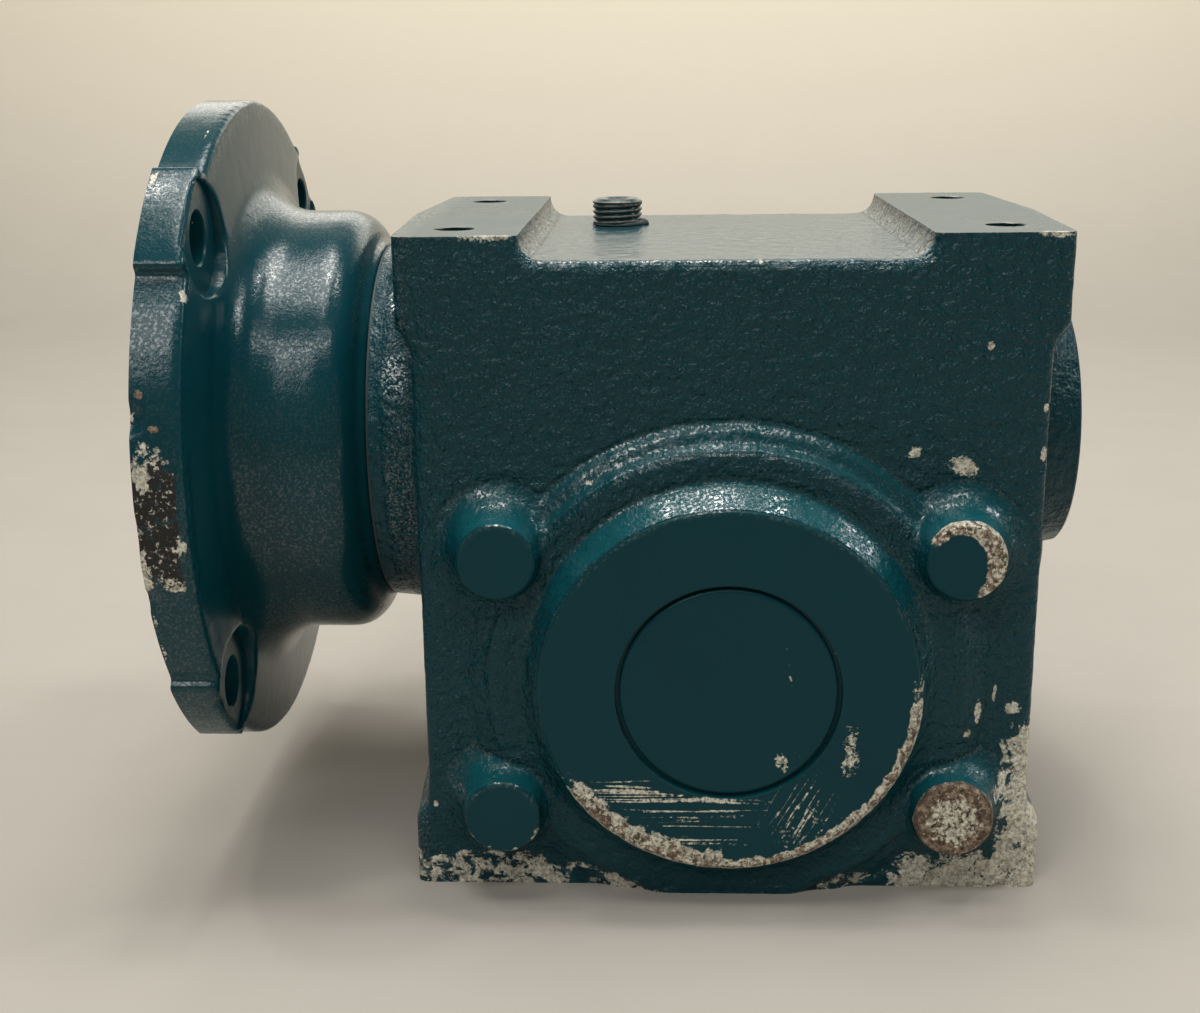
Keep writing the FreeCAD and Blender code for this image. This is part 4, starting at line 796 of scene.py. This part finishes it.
def wear_housing(piece):
    places = points_of(piece)
    x, y, z = places.T
    front = fade(y, -44, -54)
    reach = np.hypot(x, z - OUTPUT_Z)
    clock = np.degrees(np.arctan2(x, z - OUTPUT_Z))
    on_boss = fade(y, -64.5, -66.3) * (reach < 46)
    right = fade(x, 55, 70) * fade(z, 54, 34)
    strip = fade(z, 20, 2) * most(fade(x, 22, 52), 0.80 * fade(x, -20, -42))
    corner = most(0.66 * right, 0.75 * right * fade(x, 62, 70), 0.72 * strip)
    foot = fade(y, -54, -57) * fade(reach, 53, 57) * fade(z, 14, 2)
    crescent = most(fade(reach, 33.5, 43) * fade(z, 58, 26) * fade(np.abs(clock + 155), 52, 22),
                    fade(reach, 39.5, 43.2) * fade(np.abs(clock - 145), 75, 45))
    bare = most(front * (1 - on_boss) * corner, 0.50 * foot, 0.84 * on_boss * crescent)
    browned = on_boss * most(0.58 * crescent, 0.34 * fade(z, 36, 28))
    grimy = 0.22 * on_boss * crescent
    for (centre_x, _, centre_z), tip in zip(SMALL_BOSSES, ("left low", "right low", "left high", "right high")):
        out = np.hypot(x - centre_x, z - centre_z)
        turn = np.degrees(np.arctan2(x - centre_x, z - centre_z))
        end = fade(y, -63.5, -65.5) * (out < 11.5)
        if tip == "right low":
            mark = 0.95 * fade(out, 11, 8.5)
            browned = most(browned, end * (0.50 + 0.3 * fade(out, 4.0, 8.5)))
            grimy = most(grimy, 0.38 * end)
        elif tip == "right high":
            # the radius where the worn ring starts, reaching further in toward the right
            thick = 6.6 - 2.6 * fade(np.abs(turn - 75), 110, 20)
            mark = 0.82 * fade(out, thick - 1, thick + 1.6) * fade(np.abs(turn - 50), 135, 90)
            browned = most(browned, 0.56 * end)
            grimy = most(grimy, 0.34 * end)
        else:
            mark = 0.45 * fade(out, 6.6, 9) * fade(z, 30, 18)
        bare = most(bare, end * mark)
    neck = fade(x, -81.5, -79.5) * fade(x, -70, -74)
    up = upward(piece)
    slopes, channel = fade(up, 0.05, 0.30), fade(z, 147, 150)
    wall = front * (1 - channel)
    coarse = 1.0 + 0.9 * neck + 0.6 * front * (1 - slopes) - 0.5 * wall * slopes
    coarse = coarse - 0.60 * channel * fade(up, 0.9, 0.97)
    wet = most(wall * slopes, 0.9 * neck, 0.9 * channel * slopes * fade(up, 0.97, 0.9))
    # the last layer given here is painted light: a lighter teal on the upward slopes of the front wall,
    # standing for light from above
    store(piece, bare=bare, chipped=chips_of_housing(piece, places, on_boss), browned=browned, grimy=grimy,
          scratched=on_boss * patches(places, BOSS_SCRATCHES), scored=on_boss * patches(places, BOSS_SCORES),
          coarse=coarse, grainy=0.6 + 0.8 * slopes, wet=wet, thick=0.55 * wall * fade(up, 0.20, 0.75))
    return bare


def dressed(piece, node, finishes=IRON_FINISHES, sharp=34, body="case"):
    """Shades a finished piece, gives it its finishes, and lets it stand for its solid."""
    mesh = piece.data
    if [made.name for made in mesh.materials if made] != [made.name for made in finishes]:
        mesh.materials.clear()
        for made in finishes:
            mesh.materials.append(made)
    mesh.shade_smooth()
    mesh.set_sharp_from_angle(angle=math.radians(sharp))
    # a tooled plane is shaded flat, because smooth shading bends the light on its long triangles
    straight = np.abs(each(mesh.polygons, "normal", 3)).max(axis=1) > 0.99999
    tooled = each(mesh.polygons, "material_index", 1, np.int32)[:, 0] > CAST
    mesh.polygons.foreach_set("use_smooth", ~(tooled & straight))
    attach(piece, body)
    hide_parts(node)
    return piece


print("bare share of the housing:", round(float(wear_housing(housing).mean()), 3))
dressed(housing, "housing")

# %% [markdown]
# ## Motor adapter
# The flange on the left is a casting of its own: a bell with a thick rim, four lugs on the rim and a
# bolt hole in each. It is made like the housing. An intersection with one turned envelope gives its
# motor face, its seat on the gasket and its pilot in a single cut, and one more turned tool bores the
# motor register, the bell and the hole for the quill.

# %% Adapter, cast and machined
MOTOR_FACE, ADAPTER_SEAT, PILOT_END, PILOT_R = -128.5, -84.5, -81.0, 30.98
RAW_FACE, RIM_R, LUG_R, LUG_ROOT, LUG_HALF_ANGLE = -131.5, 81.5, 83.9, 70, 9.8
SPOT_FLOOR, SPOT_R = -118.42, 13.05
MOTOR_HOLES = [(0, side * 52.759, WORM_Z + up * 52.759) for side, up in CORNERS]
BELL = [(-132, 57.15), (-123.5, 57.15), (-123.5, 54.15), (-115.9, 46.5), (-94.5, 46.5), (-94.5, 24), (-79, 24)]
BELL_STOCK = [(-131, 60), (-123, 59), (-114, 49), (-92, 49), (-92, 27), (-80, 27)]
ENVELOPE = [(MOTOR_FACE + SKIM, 110), (ADAPTER_SEAT, 110), (ADAPTER_SEAT, PILOT_R), (PILOT_END, PILOT_R)]
MOTOR_HOLE = [(-133, 11), (MOTOR_FACE, 6.5), (MOTOR_FACE + 0.5, 6), (-118.8, 6), (SPOT_FLOOR, 6.4)]
MOTOR_HOLE += [(SPOT_FLOOR, reach) for reach in np.arange(7.0, SPOT_R, 1.0)]
MOTOR_HOLE += [(SPOT_FLOOR, SPOT_R), (-104, SPOT_R + 0.6)]


def lug(turn, low, high):
    """A sector of the rim that reaches further out, between two places along the worm."""
    angles = np.radians(turn + np.linspace(-LUG_HALF_ANGLE, LUG_HALF_ANGLE, 9))
    corners = [(LUG_ROOT, angles[0])] + [(LUG_R, angle) for angle in angles] + [(LUG_ROOT, angles[-1])]
    outline = [(reach * math.cos(angle), reach * math.sin(angle)) for reach, angle in corners]
    return skinned([np.array([(x, y, WORM_Z + z) for y, z in outline]) for x in (low, high)])


def adapter_envelope():
    """Everything the adapter may fill; its seat on the gasket is painted, because its edge shows."""
    count = 144
    envelope = turned("X", WORM_AXIS, ENVELOPE, count, BORED)
    for face in envelope.data.polygons[count:2 * count]:
        face.material_index = FACED
    return envelope


def adapter_casting():
    stock = [turned("X", WORM_AXIS, [(RAW_FACE, RIM_R), (-127, RIM_R)], 180)]
    stock += [turned("X", WORM_AXIS, BELL_STOCK)]
    stock += [lug(turn, RAW_FACE, -127) for turn in (45, 135, 225, 315)]
    stock += drilled("X", MOTOR_HOLES, [(-130, 6.8), (-117.6, 6.8)])
    stock += drilled("X", ADAPTER_SCREWS, [(-95, 5.4), (-83, 5.4)])
    piece = raw_casting("adapter_casting", "motor_adapter", stock, 6, 0.08, 0.03)
    carved(piece, adapter_envelope(), "INTERSECT")
    carved(piece, machining("motor_adapter", drilled("X", ADAPTER_SCREWS, [(-95.5, 5), (-83, 5)])))
    for tool in [turned("X", WORM_AXIS, BELL, 144, BORED)] + drilled("X", MOTOR_HOLES, MOTOR_HOLE, 64, FACED):
        carved(piece, tool)
    return piece


adapter = adapter_casting()
print("adapter:", len(adapter.data.polygons), "faces,", litres(adapter), "litres")

# %% Adapter, worn
RIM_SPOTS = [  # x, y, z, half width along the worm, half length round the rim, share bared, how brown
    (-127.6, -50.6, 167.9, 1.3, 2.8, 0.70, 0.15), (-120.5, -33.0, 178.0, 0.8, 4.5, 0.52, 0.45),
    (-126.3, -78.4, 126.4, 1.3, 1.1, 0.88, 1.0), (-123.2, -80.1, 119.2, 1.4, 1.0, 0.88, 1.0),
    (-125.5, -81.0, 115.0, 2.0, 2.4, 0.66, 0.0), (-126.3, -81.0, 109.0, 1.5, 3.0, 0.66, 0.0),
    (-118.8, -80.5, 93.5, 1.1, 2.4, 0.75, 0.1), (-127.9, -78.4, 86.0, 0.8, 6.0, 0.60, 0.15),
    (-117.9, -69.6, 146.4, 0.9, 2.2, 0.75, 0.25), (-128.1, -80.0, 121.0, 0.8, 4.0, 0.60, 0.3),
    (-127.8, -71.0, 66.0, 0.7, 4.0, 0.60, 0.2), (-118.0, -52.0, 41.5, 0.6, 1.0, 0.60, 0.1),
    (-125.5, -46.0, 172.0, 0.7, 1.4, 0.55, 0.1), (-127.9, -75.0, 75.0, 0.7, 3.0, 0.60, 0.1),
]
RIM_NICKS = [  # y, z, radius and depth of a nick in the outer edge of the motor face
    (-79.6, 121.5, 4.5, 1.1), (-81.2, 96.0, 6.0, 0.7), (-77.5, 80.0, 4.0, 0.9),
]


def wear_adapter(piece):
    places = points_of(piece)
    x, y, z = places.T
    reach = np.hypot(y, z - WORM_Z)
    for nick_y, nick_z, radius, depth in RIM_NICKS:
        away = np.linalg.norm(places - np.array((MOTOR_FACE, nick_y, nick_z)), axis=1)
        near = fade(away, radius, radius * 0.3)
        places[:, 1] -= depth * near * y / np.maximum(reach, 1)
        places[:, 2] -= depth * near * (z - WORM_Z) / np.maximum(reach, 1)
    piece.data.vertices.foreach_set("co", (places * MM).ravel())
    on_rim, on_hub = fade(reach, 76, 79.5), fade(reach, 64, 57)
    turn = np.arctan2(z - WORM_Z, -y) * RIM_R
    scraped = on_rim * fade(np.abs(turn + 6), 24, 10) * fade(y, 0, -40)
    chipped = 0.30 * corners_of(piece) * (x < -110)
    browned, grimy = 0.30 * scraped, 0.70 * scraped
    for spot_x, spot_y, spot_z, half, length, share, brown in RIM_SPOTS:
        round_rim = turn - math.atan2(spot_z - WORM_Z, -spot_y) * RIM_R
        spot = fade(np.hypot((x - spot_x) / half, round_rim / length), 1.7, 0.2) * on_rim
        chipped = most(chipped, share * spot)
        browned = np.where(spot > 0.3, brown, browned)
        grimy = np.where(spot > 0.3, 0.3 * (brown < 1), grimy)
    store(piece, bare=0.70 * scraped * fade(x, -117.5, -120), chipped=chipped * (x < -110), browned=browned,
          grimy=grimy, coarse=0.02 + 0.05 * on_rim + 0.5 * scraped + 0.04 * on_hub,
          grainy=0.12 + 0.8 * on_rim + 0.9 * on_hub, wet=0.4 * on_rim + 0.45 * on_hub)
    return chipped


print("chipped share of the adapter:", round(float(wear_adapter(adapter).mean()), 3))
dressed(adapter, "motor_adapter")

# %% [markdown]
# ## Output cover
# The bearing cover on the far side is held by four hex screws in its ears and carries the shaft seal.
# It is cast the same way, with its mounting face, its register and its screw seats machined.

# %% Cover, cast and machined
COVER_SEAT, COVER_FACE, HUB_FACE, REGISTER_R = 61.0, 71.0, 76.0, 44.0


def cover_casting():
    raised = copied("output_cover")
    raised.data.transform(Matrix.Translation((0, 0.4 * MM, 0)))
    stock = [raised, drawn_out("output_cover", 0.6, 0.0, -3.0),
             turned("Y", OUTPUT_AXIS, [(50, 38), (70, 35.5), (79, 31.6)])]
    stock += drilled("Y", SMALL_BOSSES, [(60.6, 6.4), (71.3, 6.4)])
    piece = raw_casting("cover_casting", "output_cover", stock, 7, 0.3, 0.12)
    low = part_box("output_cover")[0][1] / MM
    envelope = [(low, REGISTER_R - SKIM), (COVER_SEAT, REGISTER_R - SKIM), (COVER_SEAT, 110), (90, 110)]
    carved(piece, turned("Y", OUTPUT_AXIS, envelope, 144, BORED), "INTERSECT")
    fillers = [turned("Y", OUTPUT_AXIS, [(44, 40.5), (62, 40.5), (62, 29), (82, 29)])]
    fillers += drilled("Y", SMALL_BOSSES, [(60, 6), (72, 6)])
    tools = [machining("output_cover", fillers), facing("Y", OUTPUT_AXIS, HUB_FACE - SKIM, 90, 32.4, 0.4)]
    tools += drilled("Y", SMALL_BOSSES, [(COVER_FACE, 10.2), (COVER_FACE + 8, 10.2)], 64, FACED)
    for tool in tools + [box_between((-100, 40, -15), (100, 100, SKIM), FACED)]:
        carved(piece, tool)
    return piece


def wear_cover(piece):
    places = points_of(piece)
    x, y, z = places.T
    chipped = 0.34 * corners_of(piece) + 0.5 * fade(z, 8, 0) * fade(y, 68, 71)
    for centre_x, _, centre_z in SMALL_BOSSES:
        out = np.hypot(x - centre_x, z - centre_z)
        chipped = most(chipped, 0.6 * fade(out, 10.4, 9.4) * fade(y, 70.5, 70.9))
    store(piece, chipped=chipped, browned=0.3 * fade(z, 25, 0), coarse=0.7, grainy=1.0,
          wet=fade(upward(piece), 0.12, 0.42))
    return piece


cover = wear_cover(cover_casting())
dressed(cover, "output_cover")
print("cover:", len(cover.data.polygons), "faces,", litres(cover), "litres")

# %% [markdown]
# ## Pressed caps
# A steel cap closes the bore in the front boss and another the bore at the end of the worm. They were
# pressed in before the paint, so paint bridges the joint except for a thin dark line round the rim.
# Their faces are webs of many rings, because wear is stored on points and needs points inside.

# %% Caps
FRONT_CAP_FACE, WORM_CAP_FACE = -66.4, 84.4


def pressed_cap(name, axis, centre, face, back, radius):
    """A cap with a rounded rim and an open groove round it; its face looks from back to face."""
    way = 1 if face > back else -1
    edge, groove, deep, hollow, web, steps = 0.9, 0.9, 1.4, 0.10, 0.8, 6
    inner = radius - groove
    profile = [(back, radius), (face - way * deep, radius), (face - way * deep, inner)]
    for step in range(steps + 1):
        angle = math.radians(90 * step / steps)
        profile.append((face - way * edge * (1 - math.sin(angle)), inner - edge * (1 - math.cos(angle))))
    for reach in np.arange(inner - edge - web, 0.4, -web):
        share = reach / radius
        profile.append((face - way * hollow * (1 - share * share), reach))
    return turned(axis, centre, profile if way > 0 else profile[::-1], 144, name=name)


def wear_cap(piece, marks):
    places = points_of(piece)
    chipped = most(0.30 * corners_of(piece, 20), patches(places, marks))
    scored = 0.33 * patch(places, (14, FRONT_CAP_FACE, 36.5), (7, 5, 4), 25)
    store(piece, chipped=chipped, scored=scored, coarse=0.6)


front_cap = pressed_cap("front_cap", "Y", OUTPUT_AXIS, FRONT_CAP_FACE, -63.0, 25.98)
wear_cap(front_cap, [(0.56, (12.5, FRONT_CAP_FACE, 37.0), (1.7, 2.6, 3), 20, 0.7),
                     (0.58, (14.0, FRONT_CAP_FACE, 59.0), (0.2, 7.5, 3), 10, 0.7)])
dressed(front_cap, "front_end_cap", [IRON_FINISHES[FACED]])
worm_cap = pressed_cap("worm_cap", "X", WORM_AXIS, WORM_CAP_FACE, 81.0, 23.48)
wear_cap(worm_cap, [(0.70, (WORM_CAP_FACE, -6.0, 110.0), (2, 0.8, 1.4), 0, 0.7)])
dressed(worm_cap, "worm_end_cap", [IRON_FINISHES[FACED]])
print("points of the front cap:", len(front_cap.data.vertices))

# %% [markdown]
# ## Plugs
# The fill plug stands well out of the channel floor and shows four or five turns of its taper thread;
# a hex socket is broached in its top. Rings that change from a circle to a hexagon make the socket in
# the same stack, so no cut is needed. Sealant squeezed out of the hole has set hard beside it.

# %% Pipe plugs
PLUG_R, PLUG_PITCH, PLUG_SOCKET, SOCKET_DEPTH = 6.6, 1.411, 3.7, 5.0


def hexagon(corner, count):
    """The reach of a hexagon with a given corner radius, one number per point of a ring."""
    angle = np.linspace(0, 2 * np.pi, count, endpoint=False)
    return corner * math.cos(math.pi / 6) / np.cos(angle % (math.pi / 3) - math.pi / 6)


def pipe_plug(name, low, high, up):
    """A plug with a taper thread; the socket opens at its top, or at its bottom where up is false."""
    count, origin, top = 96, (0, 0, 0), high - low
    body = threaded(origin, 0.8, top - 0.9, PLUG_R - 0.22, 0.62, PLUG_PITCH, 0.7, 0.02, count)
    hexed, floor = hexagon(PLUG_SOCKET, count), top - SOCKET_DEPTH
    foot = [(0, PLUG_R - 1.2), (0.3, PLUG_R - 0.9)]
    rim = [(top - 0.4, PLUG_R - 0.7), (top - 0.08, PLUG_R - 1.1), (top, PLUG_R - 1.45),
           (top, PLUG_SOCKET + 0.6), (top - 0.12, PLUG_SOCKET + 0.25), (top - 0.45, hexed), (floor, hexed),
           (floor, hexed * 0.6), (floor - 0.9, 0.05)]
    foot, rim = (rings_of("Z", origin, end, count) for end in (foot, rim))
    piece = skinned(foot + body + rim, name=name)
    flip = Matrix.Identity(4) if up else Matrix.Rotation(math.pi, 4, "X")
    base = Vector((PLUG_X, PLUG_Y, low if up else high)) * MM
    piece.data.transform(Matrix.Translation(base) @ flip)
    return piece


def plug_finish():
    """The plug was painted with the box: enamel lies in the thread and is thin on the crests."""
    made, start, place = finish("enamel on plug steel")
    thin = ((start.layer("bare") + 1.5 * place.noise(0.9, 5.0, 0.65) - 1.2) * 6.0).clamped()
    shade = place.noise(0.12, 3.0)
    paint = shade.mixed((0.009, 0.036, 0.040), (0.016, 0.055, 0.060))
    steel = place.noise(0.8, 4.0).mixed((0.10, 0.10, 0.09), (0.24, 0.23, 0.20))
    runs = place.scaled((1.0, 1.0, 0.35)).noise(0.9, 4.0)
    coated(start, Base_Color=thin.mixed(paint, steel), Roughness=0.24 + 0.14 * shade + 0.25 * thin,
           Metallic=0.6 * thin, Normal=relief(start, 0.06 * runs - 0.03 * thin))
    return made


def wear_plug(piece):
    x, y, _ = points_of(piece).T
    crests = fade(np.hypot(x - PLUG_X, y - PLUG_Y), PLUG_R - 0.5, PLUG_R - 0.2)
    store(piece, bare=0.45 * corners_of(piece, 25) + 0.25 * crests)
    return piece


plug_enamel = plug_finish()
fill_plug = wear_plug(pipe_plug("threaded_fill_plug", 143.0, 158.6, True))
dressed(fill_plug, "fill_plug", [plug_enamel], 40)
drain_low, drain_high = (corner[2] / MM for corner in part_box("drain_plug"))
drain_plug = wear_plug(pipe_plug("threaded_drain_plug", drain_low, drain_high, False))
dressed(drain_plug, "drain_plug", [plug_enamel], 40)
print("drain plug from", round(drain_low, 2), "to", round(drain_high, 2))

# %% Sealant
BEAD_Z = 151.75


def sealant():
    """A bead round the foot of the plug with a crumb on its right."""
    count, turns = 96, 10
    waves = np.random.default_rng(7).uniform(0, 2 * np.pi, 5)
    points = []
    for angle in (2 * math.pi * i / count for i in range(count)):
        swell = 0.55 + 0.16 * sum(math.sin((k + 2) * angle + wave) for k, wave in enumerate(waves)) / 2
        crumb = 1.5 * math.exp(-((angle + 0.35 + math.pi) % (2 * math.pi) - math.pi) ** 2 / 0.12)
        radius = max(swell, 0.25) + crumb
        for tilt in (2 * math.pi * j / turns for j in range(turns)):
            reach = PLUG_R - 0.3 + crumb * 0.5 + radius * math.cos(tilt)
            points.append((PLUG_X + reach * math.cos(angle), PLUG_Y + reach * math.sin(angle),
                           BEAD_Z + radius * 0.8 * math.sin(tilt)))
    faces = []
    for i in range(count):
        here, there = i * turns, (i + 1) % count * turns
        faces += [(here + j, there + j, there + (j + 1) % turns, here + (j + 1) % turns) for j in range(turns)]
    piece = piece_of("thread_sealant", points, faces)
    with opened(piece.data) as pool:
        bmesh.ops.recalc_face_normals(pool, faces=pool.faces)
    piece.data.shade_smooth()
    roughened(piece, sand_lumps, 0.7)
    settled(piece)
    made, start, place = finish("set sealant")
    tone = place.noise(0.7, 4.0)
    coated(start, Base_Color=tone.mixed((0.006, 0.016, 0.017), (0.016, 0.034, 0.036)),
           Roughness=0.35 + 0.3 * tone, Normal=relief(start, 0.12 * place.noise(1.6, 4.0)))
    piece.data.materials.append(made)
    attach(piece, "case")
    return piece


print("sealant faces:", len(sealant().data.polygons))

# %% [markdown]
# ## Screws
# Socket screws with knurled heads hold the adapter from inside its bell, and hex screws hold the
# cover. A knurl is a ring whose reach goes up and down round the turn; the chamfer of a hex head is
# the smaller of a hexagon and a cone, ring by ring.

# %% Screws


def socket_screw(place, seat, top, head_r, shank_r, length, socket, depth):
    """A socket head screw along X whose head lies on seat and ends at top, away from the shank."""
    count, ridges = 144, 36
    angle = np.linspace(0, 2 * np.pi, count, endpoint=False)
    knurl = head_r - 0.16 * (1 - np.abs(np.cos(ridges * angle / 2)))
    hexed = hexagon(socket, count)
    profile = [(top + depth + 0.7, 0.05), (top + depth, hexed * 0.6), (top + depth, hexed),
               (top + 0.4, hexed), (top + 0.05, socket + 0.3), (top, socket + 0.6), (top, head_r - 1.0),
               (top + 0.15, head_r - 0.55), (top + 0.6, head_r - 0.15), (top + 0.9, knurl),
               (seat - 0.8, knurl), (seat - 0.55, head_r - 0.3), (seat, head_r - 0.4),
               (seat, shank_r), (seat + length - 0.8, shank_r), (seat + length, shank_r - 0.7)]
    return turned("X", place, profile, count)


def hex_screw(place, seat, top, corner, shank_r, end):
    """A hex screw along Y with a washer face under its chamfered head."""
    count = 96
    flat, washer_r = hexagon(corner, count), corner * 0.84
    profile = [(end, shank_r - 0.8), (end + 0.8, shank_r), (seat, shank_r), (seat, washer_r),
               (seat + 0.4, washer_r), (seat + 0.4, flat)]
    for share in (0.0, 0.35, 0.7, 1.0):
        profile.append((top - 1.15 + 1.0 * share, np.minimum(flat, corner - share * 1.45)))
    profile += [(top, np.minimum(flat, corner - 1.7)), (top, corner * 0.5), (top - 0.05, 0.05)]
    return turned("Y", place, profile, count)


def dark_screw_finish():
    made, start, place = finish("oiled black screw steel")
    tone = place.noise(0.5, 5.0)
    spots = above(place.noise(1.3, 4.0), 0.62, 8.0)
    dark = tone.mixed((0.018, 0.019, 0.021), (0.045, 0.045, 0.046))
    coated(start, Base_Color=spots.mixed(dark, (0.10, 0.055, 0.03)), Metallic=0.75 - 0.6 * spots,
           Roughness=0.32 + 0.2 * tone, Normal=relief(start, 0.015 * place.noise(2.0, 3.0)))
    return made


dark_screws = dark_screw_finish()
socket_screws = [socket_screw(place, -94.5, -102.5, 6.4, 3.97, 24.0, 3.6, 4.0) for place in ADAPTER_SCREWS]
dressed(welded("knurled_screws", socket_screws), "adapter_bolts", [dark_screws])
hex_screws = [hex_screw(place, COVER_FACE, 77.2, 8.25, 4.7625, 47.0) for place in SMALL_BOSSES]
dressed(welded("hex_screws", hex_screws), "cover_bolts", [dark_screws], 25)
print("screws:", len(socket_screws) + len(hex_screws))

# %% [markdown]
# ## Steel, bronze, brass, rubber and gasket sheet
# The pieces inside keep the solids' own meshes, because they are exact: shafts, worm, wheel, bearings,
# rings and seals. What they need is how each was made: turning leaves bands along its axis, grinding
# leaves finer ones, bronze tarnishes, and a paper gasket is a felt of fibres whose edge took paint.

# %% Turned and ground metal
AXES = {"X": WORM_AXIS, "Y": OUTPUT_AXIS}
RINGS = ["input_retaining_ring", "end_retaining_ring", "front_retaining_ring", "worm_shaft_ring"]
METALS = [  # solids, finish, axis, dark and light colour, gloss, bands per mm, then metallic and stain if any
    (["output_shaft"], "ground shaft steel", "Y", (0.36, 0.36, 0.37), (0.58, 0.58, 0.58), 0.20, 2.2, 1.0,
     (0.24, 0.20, 0.15)),
    (["worm_shaft"], "case hardened worm steel", "X", (0.22, 0.22, 0.23), (0.47, 0.46, 0.45), 0.18, 1.8, 1.0,
     (0.16, 0.12, 0.08)),
    (["worm_wheel"], "oily tin bronze", "Y", (0.34, 0.18, 0.055), (0.60, 0.36, 0.13), 0.26, 1.2, 1.0,
     (0.20, 0.10, 0.035)),
    (["wheel_hub", "wheel_spacer"], "turned hub iron", "Y", (0.09, 0.09, 0.088), (0.20, 0.20, 0.195), 0.40,
     1.0, 0.8),
    (["wheel_key"], "drawn key steel", "Y", (0.30, 0.30, 0.29), (0.46, 0.46, 0.45), 0.32, 3.0),
    (RINGS, "blued ring steel", "Y", (0.03, 0.032, 0.04), (0.09, 0.092, 0.105), 0.34, 2.0, 0.9),
]
for name, axis in (("input", "X"), ("end", "X"), ("front", "Y"), ("rear", "Y")):
    races = [name + "_bearing_" + race for race in ("outer_ring", "inner_ring", "balls")]
    METALS.append((races, name + " bearing steel", axis, (0.46, 0.46, 0.47), (0.66, 0.66, 0.66), 0.12, 3.0))
    METALS.append(([name + "_bearing_cage"], name + " cage brass", axis, (0.50, 0.32, 0.10),
                   (0.70, 0.50, 0.20), 0.28, 1.5, 1.0, (0.30, 0.18, 0.06)))


def machined(name, axis, dark, light, gloss, bands, metal=1.0, stain=None):
    """Metal with tool marks round an axis: bands along it and rings on its end faces."""
    made, start, place = finish(name)
    along = SPIN[axis][0]
    around = place.vector("SUBTRACT", AXES[axis]).scaled(tuple(1 - part for part in along))
    reach = around.node("ShaderNodeVectorMath", {"operation": "LENGTH"}, {0: around}, out=1)
    step = place.vector("DOT_PRODUCT", along, out=1)
    marks = start.node("ShaderNodeTexNoise", {"noise_dimensions": "1D"},
                       {"W": step + 1.37 * reach, "Scale": bands, "Detail": 4.0})
    cloud = place.noise(0.12, 4.0)
    colour = (0.55 * marks + 0.75 * cloud - 0.15).clamped().mixed(dark, light)
    if stain:
        touched = above(place.noise(0.22, 6.0, 0.62), 0.52, 5.0)
        colour = (0.7 * touched).mixed(colour, stain)
    coated(start, Base_Color=colour, Metallic=metal, Roughness=gloss + 0.16 * cloud + 0.06 * marks,
           Normal=relief(start, 0.010 * marks))
    return made


def clad(nodes, made):
    """Gives solids that keep their own meshes their finish."""
    for node in nodes:
        solids[node].data.materials.clear()
        solids[node].data.materials.append(made)


for nodes, *metal in METALS:
    clad(nodes, machined(*metal))
print("finishes so far:", len(bpy.data.materials))

# %% Rubber and gasket sheet


def seal_rubber():
    made, start, place = finish("black seal rubber")
    dust = place.noise(0.25, 5.0)
    coated(start, Base_Color=dust.mixed((0.010, 0.010, 0.011), (0.034, 0.033, 0.032)),
           Roughness=0.48 + 0.25 * dust, Normal=relief(start, 0.03 * place.noise(2.5, 3.0)))
    return made


def gasket_sheet():
    made, start, place = finish("pressed gasket fibre")
    fibres = place.scaled((1.0, 0.35, 1.6)).noise(1.2, 6.0, 0.7)
    colour = fibres.mixed((0.004, 0.024, 0.030), (0.012, 0.036, 0.040))
    oily = (0.5 * place.noise(0.07, 3.0)).mixed(colour, (0.030, 0.034, 0.030))
    coated(start, Base_Color=oily, Roughness=0.5 + 0.2 * fibres, Normal=relief(start, 0.06 * fibres))
    return made


clad(["input_oil_seal", "output_oil_seal"], seal_rubber())
clad(["adapter_gasket", "cover_gasket"], gasket_sheet())
unfinished = [name for name, solid in solids.items()
              if not any(made and made.use_nodes for made in solid.data.materials)]
print("solids without a finish of their own:", unfinished)
